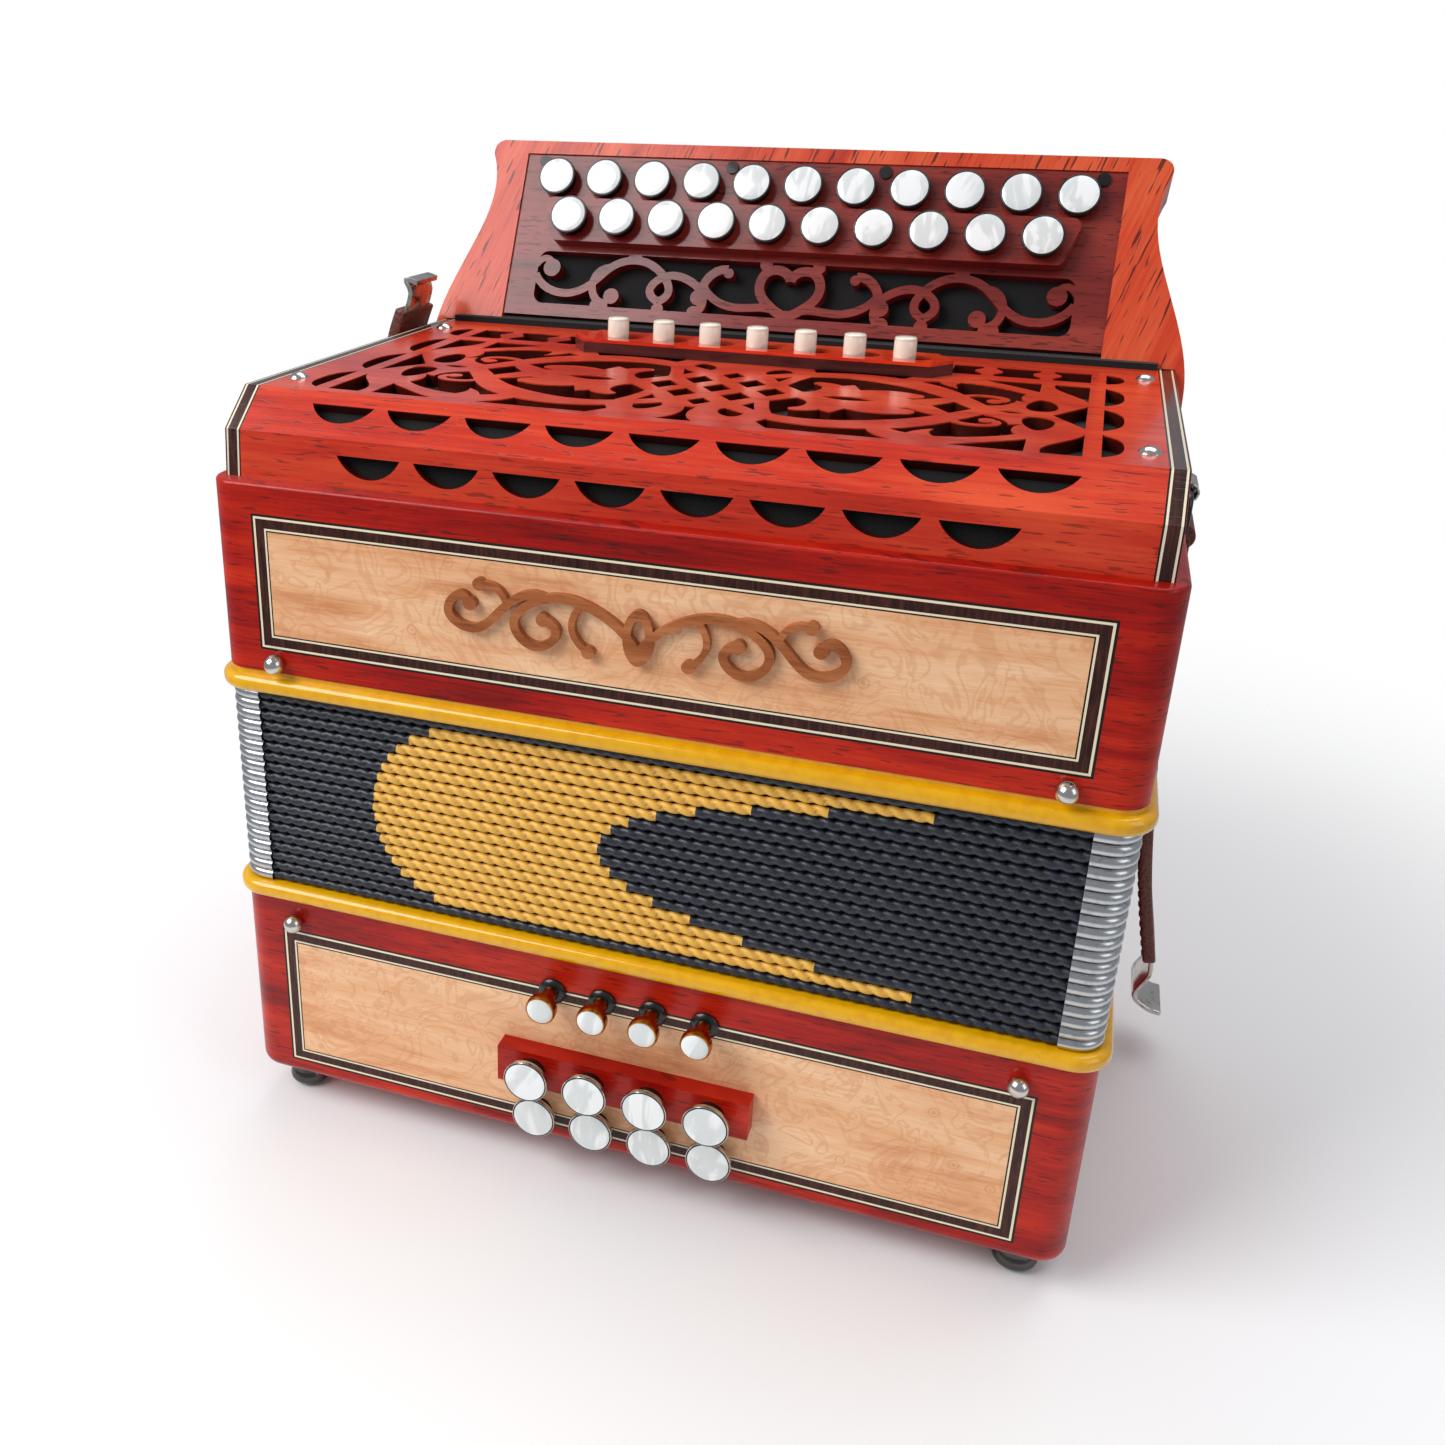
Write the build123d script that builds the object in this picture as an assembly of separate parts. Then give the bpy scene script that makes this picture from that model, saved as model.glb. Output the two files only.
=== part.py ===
from build123d import *
import os
from math import atan2, cos, degrees, radians, sin, sqrt

# Two-row button accordion with 21 treble buttons and 8 bass buttons, standing on its bass end.
# Millimetres. +Z up (bass end to treble end), front face towards -Y, X along the casing's length.
# The origin is on the surface that the feet stand on, in the middle of the overall footprint.

# ---------------------------------------------------------------- driving dimensions
CASE_WIDTH = 283.0          # both casings, along X
CASE_DEPTH = 180.0          # both casings, along Y
CASE_CORNER = 9.0           # vertical corner radius
CASE_WALL = 8.0
TREBLE_HEIGHT = 61.7
BASS_HEIGHT = 74.5
BASE_THICK = 6.0            # floor of the bass casing
BASE_ROUND = 5.0            # rounded bottom edge of the bass casing
RIM_ROUND = 1.2             # small round on the treble casing's top edge

FOOT_HEIGHT = 12.0
FOOT_RADIUS = 7.3
FOOT_INSET = 14.0           # foot centre to the casing's outer faces

STRIP_HEIGHT = 5.6          # gilt strip round each bellows frame
STRIP_PROUD = 2.7
STRIP_WIDTH = 5.7
GASKET = 1.8
FRAME_WIDTH = 24.0          # bellows frame, outer edge to opening
TONGUE_HEIGHT = 12.0        # part of the frame that nests in the casing
TONGUE_WIDTH = 6.0
FOLDS = 19
FOLD_PITCH = 3.75
FOLD_DEPTH = 16.0
FOLD_INSET = 0.8            # folds stand back from the casing's faces
FOLD_ROUND = 1.4

INLAY_DEPTH = 0.8
INLAY_HALF = 125.9          # half length of both inlays
TREBLE_INLAY_HALF = 22.3    # half height
TREBLE_INLAY_MID = 31.8     # below the casing's top
BASS_INLAY_HALF = 27.8
BASS_INLAY_MID = 39.8       # below the bass casing's top
INLAY_STEPS = (0.75, 0.7, 2.95, 0.6, 0.45)  # dark line, white line, band, white line, dark line
ORNAMENT_THICK = 2.4
ORNAMENT_LINE = 2.6

COVER_HALF = 137.5          # half length of the grille cover
COVER_FRONT = 6.2           # step back from the casing's front face
COVER_LEAN = 1.3
COVER_WALL_RISE = 14.3      # height of the upright front
COVER_SLOPE_RUN = 13.0
COVER_RISE = 25.5           # height of the flat top
COVER_DEPTH = 162.1
COVER_THICK = 4.0

MOON_PITCH = 25.3           # half-moon openings
MOON_CHORD = 21.0
MOON_SAG = 6.6

GRILLE_MID = 75.0           # middle of the fretwork, behind the casing's front
GRILLE_HALF_X = 111.0
GRILLE_HALF_Y = 50.0

CLOTH = 0.7
CLOTH_MARGIN = 1.5          # cloth beyond the openings it covers
FELT_HEIGHT = 2.2
FELT_FRONT = 2.8            # felt on the cover's top, forward of its rear edge
FELT_HALF = 131.8

PLATE_TILT = 26.0           # keyboard plate, leaning back from upright
PLATE_HALF = 113.2
PLATE_LENGTH = 65.0
PLATE_THICK = 5.0
PLATE_Y = 170.9             # lower front edge of the plate, behind the casing's front
PLATE_Z = 29.1              # and above the casing's top
KEYBOARD_DEEP = 23.0        # plate surface to the back of the keyboard
BACK_THICK = 4.0
CHEEK_PROUD = 0.8
RAIL = 5.2                  # top rail above the plate
CHEEK_WAIST = 125.0
CHEEK_SHOULDER = 127.8

KEY_PITCH = 19.6
OUTER_KEYS = 11
INNER_KEYS = 10
OUTER_ROW = 54.6            # along the plate from its lower edge
INNER_ROW = 37.0
BLOCK_LOW = 28.4
BLOCK_HIGH = 45.6
BLOCK_THICK = 6.0
BLOCK_HALF = 101.5
BLOCK_SLANT = 6.0
DISC_RADIUS = 7.3
DISC_THICK = 1.8
STEM_RADIUS = 4.6
BUTTON_RISE = 5.2           # top of a button above the wood round it
KEY_HOLE = 6.4              # radius of a button's hole
LEVER_THICK = 4.0
LEVER_DEEP = 5.0
HUB_RADIUS = 4.5
AXLE_RADIUS = 1.5
AXLE_PLAY = 0.05
AXLE_Y = 176.0
AXLE_Z = 13.0
PALLET_FELT = 2.4
PALLET_WOOD = 6.0
PALLET_GAP = 0.1
OUTER_PALLET = (17.0, 30.0, 66.0)   # width, front and back behind the casing's front
INNER_PALLET = (13.0, 95.0, 133.0)
SOUNDBOARD = 8.0
SOUND_HOLE = (8.0, 24.0)

BAR_FRONT = 119.0           # register bar, behind the casing's front
BAR_DEPTH = 21.0
BAR_HALF = 67.0
BAR_CHAMFER = 6.5
BAR_THICK = 4.7
BAR_VENEER = 1.0
PEG_PITCH = 16.9
PEGS = 7
PEG_RADIUS = 3.7
PEG_HEIGHT = 10.2
PEG_SUNK = 3.5              # peg's foot below the bar's top
PEG_BACK = 9.5              # pegs behind the bar's front edge
REGISTER_TRAVEL = 5.0
ROD_RADIUS = 1.8
ROD_PLAY = 0.3

BASS_PITCH = 20.2           # bass buttons along X
BASS_KEYS = 4               # in each row
BASS_UPPER = 45.0           # height of the upper row above the floor of the room
BASS_LOWER = 24.6
BASS_DISC = 7.5
BASS_STEM = 4.7
BASS_UPPER_REACH = 13.0     # disc front before the casing's face
BASS_LOWER_REACH = 5.6
BASS_TRAVEL = 3.2
STEM_PLAY = 0.08
COLLAR_THICK = 2.0
COLLAR_RADIUS = 6.0
BASS_BAR = (42.6, 13.4, 6.5)        # half length, height, thickness

STOP_PITCH = 17.0
STOPS = 4
STOP_BELOW = 12.8           # stop knobs below the bass casing's top
STOP_REACH = 12.5
STOP_HEAD = 4.8
STOP_SHAFT = 2.6
STOP_TRAVEL = 4.0

AIR_X = 60.0                # air button on the back of the bass casing
AIR_RADIUS = 7.0
AIR_REACH = 7.0
AIR_TRAVEL = 3.5

PIN_X = 120.0
TREBLE_PIN = 3.8            # bellows pins above the treble casing's lower edge
BASS_PIN = 8.0              # and below the bass casing's upper edge
PIN_RADIUS = 1.25
PIN_BALL = 3.3
PIN_OUT = 2.4               # ball's centre before the casing's face
PIN_LENGTH = 13.0
PIN_PLAY = 0.05

SCREW_RADIUS = 1.5
SCREW_PLAY = 0.1
SCREW_HEAD = (3.2, 1.9)     # radius and height of a domed head
SCREW_LENGTH = 12.0
COVER_SCREWS = (127.8, (36.6, 146.9))       # from the middle, and behind the casing's front
PLATE_SCREWS = ((-105.4, -29.0, 29.0, 105.4), 62.0)

STRAP_WIDTH = 26.0
STRAP_Y = 150.0             # middle of the strap, behind the casing's front
TAB_SIDE = 5.0              # two layers of leather, sewn together
CLIP_THICK = 1.8
STRAP_REACH = 172.0         # outermost point of the hanging clip from the middle of the casing
RING_BAR = 1.5              # radius of the ring's bar
RING_WIDTH = 34.0
RING_DROP = 14.0
RING_OUT = 5.6              # ring's bar to the casing's side
RING_BELOW = 10.0           # ring's upper bar below the casing's top
LOOP_WALL = 1.2
BRACKET = (1.5, 34.0, 17.0)         # thickness, width, height

HAND_STRAP = (104.0, 48.0, 2.4)     # half length, width, thickness

# ---------------------------------------------------------------- derived places
TILT = radians(PLATE_TILT)
ALONG = (sin(TILT), cos(TILT))      # up the plate, in Y and Z
OUT = (-cos(TILT), sin(TILT))       # out of the plate, towards the player
SIDE = CASE_WIDTH / 2
KEYBOARD_BACK = PLATE_Y + ALONG[0] * (PLATE_LENGTH + RAIL) - OUT[0] * KEYBOARD_DEEP
RING_X = SIDE + RING_OUT
LOOP_RADIUS = RING_BAR + 0.3 + LOOP_WALL
EYE_WALL = 2.7              # leather round the ring's bar
LEFT_REACH = RING_X + RING_BAR + 0.3 + EYE_WALL
# The model is laid out from the middle of the casing's front face, then moved to the origin.
PLACE = ((LEFT_REACH - STRAP_REACH) / 2, (BASS_UPPER_REACH - KEYBOARD_BACK) / 2, 0)

BASS_Z = FOOT_HEIGHT
BASS_TOP = BASS_Z + BASS_HEIGHT
FOLDS_Z = BASS_TOP + STRIP_HEIGHT
FOLDS_TOP = FOLDS_Z + FOLDS * FOLD_PITCH
GASKET_Z = FOLDS_TOP + STRIP_HEIGHT
TREBLE_Z = GASKET_Z + GASKET
TOP = TREBLE_Z + TREBLE_HEIGHT      # flat rim round the grille cover
COVER_TOP = TOP + COVER_RISE

OUTER_XS = [(i - (OUTER_KEYS - 1) / 2) * KEY_PITCH for i in range(OUTER_KEYS)]
INNER_XS = [(i - (INNER_KEYS - 1) / 2) * KEY_PITCH for i in range(INNER_KEYS)]
PEG_XS = [(i - (PEGS - 1) / 2) * PEG_PITCH for i in range(PEGS)]
BASS_XS = [(i - (BASS_KEYS - 1) / 2) * BASS_PITCH for i in range(BASS_KEYS)]
STOP_XS = [(i - (STOPS - 1) / 2) * STOP_PITCH for i in range(STOPS)]


# ---------------------------------------------------------------- helpers
def save(name, *pieces):
    """Write the given solids as one named node, in its place."""
    solids = [solid.moved(Location(PLACE)) for piece in pieces for solid in piece.solids()]
    export_step(Compound(children=solids), f"parts/{name}.step")


def box(x0, x1, y0, y1, z0, z1):
    """A box between two corners."""
    return Pos((x0 + x1) / 2, (y0 + y1) / 2, (z0 + z1) / 2) * Box(x1 - x0, y1 - y0, z1 - z0)


def slab(setback, z0, z1):
    """An upright prism with rounded corners, set back all round from the casing's outer faces."""
    width, depth = CASE_WIDTH - 2 * setback, CASE_DEPTH - 2 * setback
    outline = RectangleRounded(width, depth, max(CASE_CORNER - setback, 1.5))
    return extrude(Pos(0, CASE_DEPTH / 2, z0) * outline, amount=z1 - z0)


def ring_slab(outer, inner, z0, z1):
    """A rectangular ring between two setbacks."""
    return slab(outer, z0, z1) - slab(inner, z0, z1)


def rod_x(y, z, radius, x0, x1):
    """A round bar along X."""
    return Pos((x0 + x1) / 2, y, z) * Rot(0, 90, 0) * Cylinder(radius, x1 - x0)


def rod_y(x, z, radius, y0, y1):
    """A round bar along Y."""
    return Pos(x, (y0 + y1) / 2, z) * Rot(90, 0, 0) * Cylinder(radius, y1 - y0)


def rod_z(x, y, radius, z0, z1):
    """A round bar along Z."""
    return Pos(x, y, (z0 + z1) / 2) * Cylinder(radius, z1 - z0)


def side_profile(points, x0, x1):
    """A prism along X over an outline given as (y, z) points."""
    face = Plane.YZ * make_face(Polyline(*points, close=True))
    return Pos(x0, 0, 0) * extrude(face, amount=x1 - x0)


def plate_plane(x, along, height=0.0):
    """A plane on the keyboard: local x along the casing, y up the plate, z out of it."""
    y = PLATE_Y + ALONG[0] * along + OUT[0] * height
    z = TOP + PLATE_Z + ALONG[1] * along + OUT[1] * height
    return Plane(origin=(x, y, z), x_dir=(1, 0, 0), z_dir=(0, OUT[0], OUT[1]))


def plate_rod(x, along, radius, h0, h1):
    """A round bar square to the keyboard plate, between two heights."""
    return extrude(plate_plane(x, along, h0) * Circle(radius), amount=h1 - h0)


def plate_box(x0, x1, a0, a1, h0, h1):
    """A block along the keyboard plate."""
    face = Pos((x0 + x1) / 2, (a0 + a1) / 2) * Rectangle(x1 - x0, a1 - a0)
    return extrude(plate_plane(0, 0, h0) * face, amount=h1 - h0)


def outline(*runs):
    """A closed face from runs of points: two points make a line, more make a smooth curve."""
    edges = [Line(*run) if len(run) == 2 else Spline(*run) for run in runs]
    return make_face(edges)


def band(points, width):
    """A strip of even width along a smooth line through a few points."""
    return trace(Spline(*points), line_width=width)


def dot(x, y, radius):
    return Pos(x, y) * Circle(radius)


def both_sides(solids, about=Plane.YZ):
    """The given solids and their mirror images, by default in the middle of the casing."""
    return [*solids, *(mirror(solid, about=about) for solid in solids)]


def raised(plane, face, amount):
    """A prism over a flat shape that is laid on a plane."""
    return extrude(plane * face, amount=amount, dir=plane.z_dir)


def joined(pieces):
    """The given shapes as one."""
    total = pieces[0]
    for piece in pieces[1:]:
        total += piece
    return total


# ---------------------------------------------------------------- casings and inlays
def inlay(mid, half):
    """Nested frames of stringing and banding round a maple field, flush with the casing."""
    def panel(inset):
        return box(-INLAY_HALF + inset, INLAY_HALF - inset, 0, INLAY_DEPTH, mid - half + inset, mid + half - inset)
    pieces, inset = [], 0.0
    for step in INLAY_STEPS:
        pieces.append(panel(inset) - panel(inset + step))
        inset += step
    return pieces + [panel(inset)]


def inlay_recess(mid, half):
    return box(-INLAY_HALF, INLAY_HALF, -1, INLAY_DEPTH, mid - half, mid + half)


def pin_places(z):
    """Where the four bellows pins of one end stand: x, height, and outward direction in Y."""
    return [(x, z, face) for x in (-PIN_X, PIN_X) for face in (-1, 1)]


def pin_bar(x, z, face, radius):
    """The shank of a bellows pin, from the casing's face inwards."""
    span = (0, PIN_LENGTH) if face < 0 else (CASE_DEPTH - PIN_LENGTH, CASE_DEPTH)
    return rod_y(x, z, radius, *span)


def pin(x, z, face):
    """A bellows pin with its ball head on the casing's face."""
    surface = 0 if face < 0 else CASE_DEPTH
    ball = Pos(x, surface + face * PIN_OUT, z) * Sphere(PIN_BALL)
    return (ball & slab(-2 * PIN_BALL, z - PIN_BALL, z + PIN_BALL)) - slab(0, z - 9, z + 9) + pin_bar(
        x, z, face, PIN_RADIUS)


def pin_holes(z):
    return [pin_bar(x, height, face, PIN_RADIUS + PIN_PLAY) for x, height, face in pin_places(z)]


TREBLE_PIN_Z = TREBLE_Z + TREBLE_PIN
BASS_PIN_Z = BASS_TOP - BASS_PIN


def treble_casing():
    block = slab(0, TREBLE_Z, TOP)
    block = fillet(block.edges().group_by(Axis.Z)[-1], RIM_ROUND)
    return block - slab(CASE_WALL, TREBLE_Z, TOP) - inlay_recess(
        TOP - TREBLE_INLAY_MID, TREBLE_INLAY_HALF) - pin_holes(TREBLE_PIN_Z)


def bass_holes(play):
    """Everything that passes through the bass casing's front, with the given play."""
    keys = [rod_y(x, z, BASS_STEM + play, -BASS_BAR[2] - 1, CASE_WALL + 1)
            for x, z, _ in bass_key_places()]
    stops = [rod_y(x, STOP_Z, STOP_SHAFT + play, -1, CASE_WALL + 1) for x in STOP_XS]
    return keys + stops


def bass_key_places():
    """x, height and reach of each bass button's disc, upper row first."""
    rows = ((BASS_UPPER, BASS_UPPER_REACH), (BASS_LOWER, BASS_LOWER_REACH))
    return [(x, z, reach) for z, reach in rows for x in BASS_XS]


STOP_Z = BASS_TOP - STOP_BELOW
AIR_Z = BASS_Z + BASE_THICK + AIR_RADIUS + 2


def bass_casing():
    block = slab(0, BASS_Z, BASS_TOP)
    block = fillet(block.edges().group_by(Axis.Z)[0], BASE_ROUND)
    air_hole = rod_y(AIR_X, AIR_Z, AIR_RADIUS - 2 + STEM_PLAY, CASE_DEPTH - CASE_WALL - 1, CASE_DEPTH + 1)
    casing = block - slab(CASE_WALL, BASS_Z + BASE_THICK, BASS_TOP) - inlay_recess(
        BASS_TOP - BASS_INLAY_MID, BASS_INLAY_HALF) - pin_holes(BASS_PIN_Z) - bass_holes(STEM_PLAY) - air_hole
    return casing


def bass_bar():
    half, height, thick = BASS_BAR
    bar = box(-half, half, -thick, 0, BASS_UPPER - height / 2, BASS_UPPER + height / 2)
    return bar - bass_holes(STEM_PLAY)


def ornament():
    """A carved vine scroll that stands on the treble field."""
    vine = [(0, -5), (14, 7), (30, 7.5), (38, -1), (31, -7), (25, -2.5), (29, 2)]
    tail = [(28, 8), (42, 3), (52, -4), (59, 1), (55.5, 6), (52, 3.5)]
    leaf = [(17, 8), (20, 0), (15, -6.5)]
    bud = [(40, 3.5), (43, 9), (49, 10)]
    wide, fine = ORNAMENT_LINE, ORNAMENT_LINE * 0.75
    side = [band(vine, wide), band(tail, wide), band(leaf, fine), band(bud, fine), dot(29, 1.6, wide * 0.8),
            dot(52, 3.6, wide * 0.8), dot(15, -6.5, fine), dot(49, 10, fine)]
    centre = joined([Ellipse(4.6, 8.5) - Ellipse(2.2, 5.4), dot(0, -5, wide)])
    plane = Plane((0, 0, TOP - TREBLE_INLAY_MID), z_dir=(0, -1, 0), x_dir=(1, 0, 0))
    half = raised(plane, joined(side), ORNAMENT_THICK)
    return joined([raised(plane, centre, ORNAMENT_THICK), *both_sides([half])])


# ---------------------------------------------------------------- treble works
def treble_soundboard():
    """Soundboard with a slot under each pallet, posts for the cover screws, and the key axle."""
    board = slab(CASE_WALL, TOP - SOUNDBOARD, TOP)
    slots = []
    for xs, (_, front, back) in ((OUTER_XS, OUTER_PALLET), (INNER_XS, INNER_PALLET)):
        width, length = SOUND_HOLE
        mid = (front + back) / 2
        slots += [box(x - width / 2, x + width / 2, mid - length / 2, mid + length / 2, TOP - SOUNDBOARD, TOP)
                  for x in xs]
    posts = [rod_z(side * COVER_SCREWS[0], y, 4.5, TOP, COVER_TOP - COVER_THICK)
             - rod_z(side * COVER_SCREWS[0], y, SCREW_RADIUS, COVER_TOP - SCREW_LENGTH - 1, COVER_TOP)
             for side in (-1, 1) for y in COVER_SCREWS[1]]
    axle = rod_x(AXLE_Y, TOP + AXLE_Z, AXLE_RADIUS, -PLATE_HALF - 6, PLATE_HALF + 6)
    gap = KEY_PITCH / 2
    panel = plate_box(-PLATE_HALF, PLATE_HALF, -80, PLATE_LENGTH, -KEYBOARD_DEEP, -KEYBOARD_DEEP + BACK_THICK)
    combs = [box(x - 1.5, x + 1.5, AXLE_Y - 3, AXLE_Y + 3, TOP, TOP + AXLE_Z + 3) - axle - panel
             for x in (-8.5 * gap, -3.5 * gap, 3.5 * gap, 8.5 * gap)]
    return [board - slots, *posts, axle, *combs]


def reed_block(mid, half_length, z_top, height, plates, plate_size):
    """A wooden reed block with a row of metal reed plates on both of its long faces."""
    foot, crown = 9.0, 6.0
    tip = z_top - height
    points = [(mid - foot, z_top), (mid + foot, z_top), (mid + crown, tip), (mid - crown, tip)]
    width, thick, tall = plate_size
    lean = degrees(atan2(foot - crown, height))
    pieces = [side_profile(points, -half_length, half_length)]
    for face in (-1, 1):
        y = mid + face * ((foot + crown) / 2 + thick / 2 / cos(radians(lean)))
        for x in plates:
            pieces.append(Pos(x, y, z_top - height / 2) * Rot(face * lean, 0, 0) * Box(width, thick, tall))
    return pieces


def treble_reeds():
    z = TOP - SOUNDBOARD
    pieces = []
    for xs, (_, front, back) in ((OUTER_XS, OUTER_PALLET), (INNER_XS, INNER_PALLET)):
        pieces += reed_block((front + back) / 2, xs[-1] + 9, z, 34.0, xs, (15.0, 1.0, 26.0))
    return pieces


def bass_reeds():
    """Bass soundboard across the casing, with two reed blocks above it."""
    z = BASS_TOP - 44.0
    board = slab(CASE_WALL, z - 4.0, z)
    board -= box(-70, 70, 0, 30, z - 5, z + 1)
    holes = [box(x - 6, x + 6, y - 9, y + 9, z - 5, z + 1) for x in BASS_XS for y in (70, 120)]
    pieces = [board - holes]
    for y in (70, 120):
        block = reed_block(y, 60, z, -30.0, [(i - 2.5) * 19.0 for i in range(6)], (16.0, 1.0, 22.0))
        pieces += block
    return pieces


# ---------------------------------------------------------------- grille cover
def cover_line(inset=0.0):
    """The cover's cross-section from its foot over the slope to its rear edge, as (y, z) points."""
    corners = [(COVER_FRONT, 0.0), (COVER_FRONT + COVER_LEAN, COVER_WALL_RISE),
               (COVER_FRONT + COVER_LEAN + COVER_SLOPE_RUN, COVER_RISE), (COVER_FRONT + COVER_DEPTH, COVER_RISE)]
    lines = []
    for (y0, z0), (y1, z1) in zip(corners, corners[1:]):
        length = sqrt((y1 - y0) ** 2 + (z1 - z0) ** 2)
        dy, dz = (y1 - y0) / length, (z1 - z0) / length
        lines.append(((y0 + dz * inset, z0 - dy * inset), (dy, dz)))
    points = [(lines[0][0][0] - lines[0][0][1] * lines[0][1][0] / lines[0][1][1], 0.0)]
    for ((y0, z0), (dy0, dz0)), ((y1, z1), (dy1, dz1)) in zip(lines, lines[1:]):
        run = ((y1 - y0) * dz1 - (z1 - z0) * dy1) / (dy0 * dz1 - dz0 * dy1)
        points.append((y0 + dy0 * run, z0 + dz0 * run))
    points.append((corners[-1][0], COVER_RISE - inset))
    return [(y, TOP + z) for y, z in points]


def cover_layer(outer, inner, half):
    """A skin along the cover between two insets."""
    points = cover_line(outer) + cover_line(inner)[::-1]
    return side_profile(points, -half, half)


def face_plane(first, second, along):
    """A plane on the cover's outside, between two of its cross-section's corners."""
    (y0, z0), (y1, z1) = cover_line()[first], cover_line()[second]
    length = sqrt((y1 - y0) ** 2 + (z1 - z0) ** 2)
    dy, dz = (y1 - y0) / length, (z1 - z0) / length
    return Plane(origin=(0, y0 + dy * along, z0 + dz * along), x_dir=(1, 0, 0), z_dir=(0, -dz, dy))


def half_moons(plane, count):
    """A row of half-moon cutters, flat side up, standing on a plane of the cover."""
    c = MOON_CHORD / 2
    face = make_face([Line((-c, 0), (c, 0)), ThreePointArc((c, 0), (0, -MOON_SAG), (-c, 0))])
    xs = [(i - (count - 1) / 2) * MOON_PITCH for i in range(count)]
    return [extrude(plane * Pos(x, 0) * face, amount=COVER_THICK * 1.6, both=True) for x in xs]


def lattice():
    """Diamond openings where the two rings cross in the middle of the grille."""
    step_x, step_y, half_x, half_y = 8.7, 11.0, 4.9, 7.0
    cells = [(0, 0), (0, 2), (0, -2), (1, 1), (-1, 1), (1, -1), (-1, -1), (2, 0), (-2, 0)]
    diamond = make_face(Polyline((half_x, 0), (0, half_y), (-half_x, 0), (0, -half_y), close=True))
    small = scale(diamond, 0.8)
    return [Pos(i * step_x, j * step_y) * (small if abs(j) == 2 else diamond) for i, j in cells]


def leaf():
    """The lobed leaf inside a ring, with its slot."""
    upper = [[(24, -4.6), (24, 4.6)], [(24, 4.6), (27, 4.6)], [(27, 4.6), (30.2, 9), (30.6, 15), (27, 20)],
             [(27, 20), (27.6, 22), (32, 22.2), (36, 19)], [(36, 19), (39.8, 22)], [(39.8, 22), (42.8, 14.5)],
             [(42.8, 14.5), (52, 17.4), (62, 14.6)], [(62, 14.6), (63, 12), (57.3, 7.9)], [(57.3, 7.9), (66, 3.5)]]
    lower = [[(x, -y) for x, y in run] for run in upper[1:]]
    shape = outline(*upper, [(66, 3.5), (66, -3.5)], *lower)
    slot = outline([(33, 0), (41.5, 2.9), (50, 0)], [(50, 0), (41.5, -2.9), (33, 0)])
    return shape - slot


def ring_opening():
    """The opening of one ring: pointed at the outer end, cut square by the lattice inside."""
    right, top, side = 69.4, 33.2, 24.3
    upper = [[(26.8, 4.0), (19.7, 12.6)], [(19.7, 12.6), (21.6, 22), (side, 30.7)],
             [(side, 30.7), (37.3, top), (50, 29.3), (62, 21.5), (right, 13.4)], [(right, 13.4), (57, 4.0)]]
    lower = [[(x, -y) for x, y in run] for run in upper]
    return outline(*upper, [(57, 4.0), (57, -4.0)], *lower, [(26.8, 4.0), (26.8, -4.0)]) - leaf()


def scroll_opening():
    """The opening between a ring and the outer S-curve, with the scroll that grows into it."""
    opening = outline([(59, 36.5), (64.5, 40.2), (72, 41.2), (81, 38.8), (92.8, 30)],
                      [(92.8, 30), (91.3, 23.4), (94, 15.5)], [(94, 15.5), (90, 18)],
                      [(90, 18), (88, 11), (82.3, 6.7)], [(82.3, 6.7), (78.6, 13), (74.8, 19.6)],
                      [(74.8, 19.6), (67, 30), (59, 36.5)])
    scroll = band([(74, 15.5), (80, 21.8), (86, 20), (86, 14.5)], 2.6) + dot(84, 14.4, 2.5)
    barb = outline([(63.5, 43), (66.5, 36), (71, 32)], [(71, 32), (70.2, 37), (73, 43)], [(73, 43), (63.5, 43)])
    return opening - scroll - barb


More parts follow.
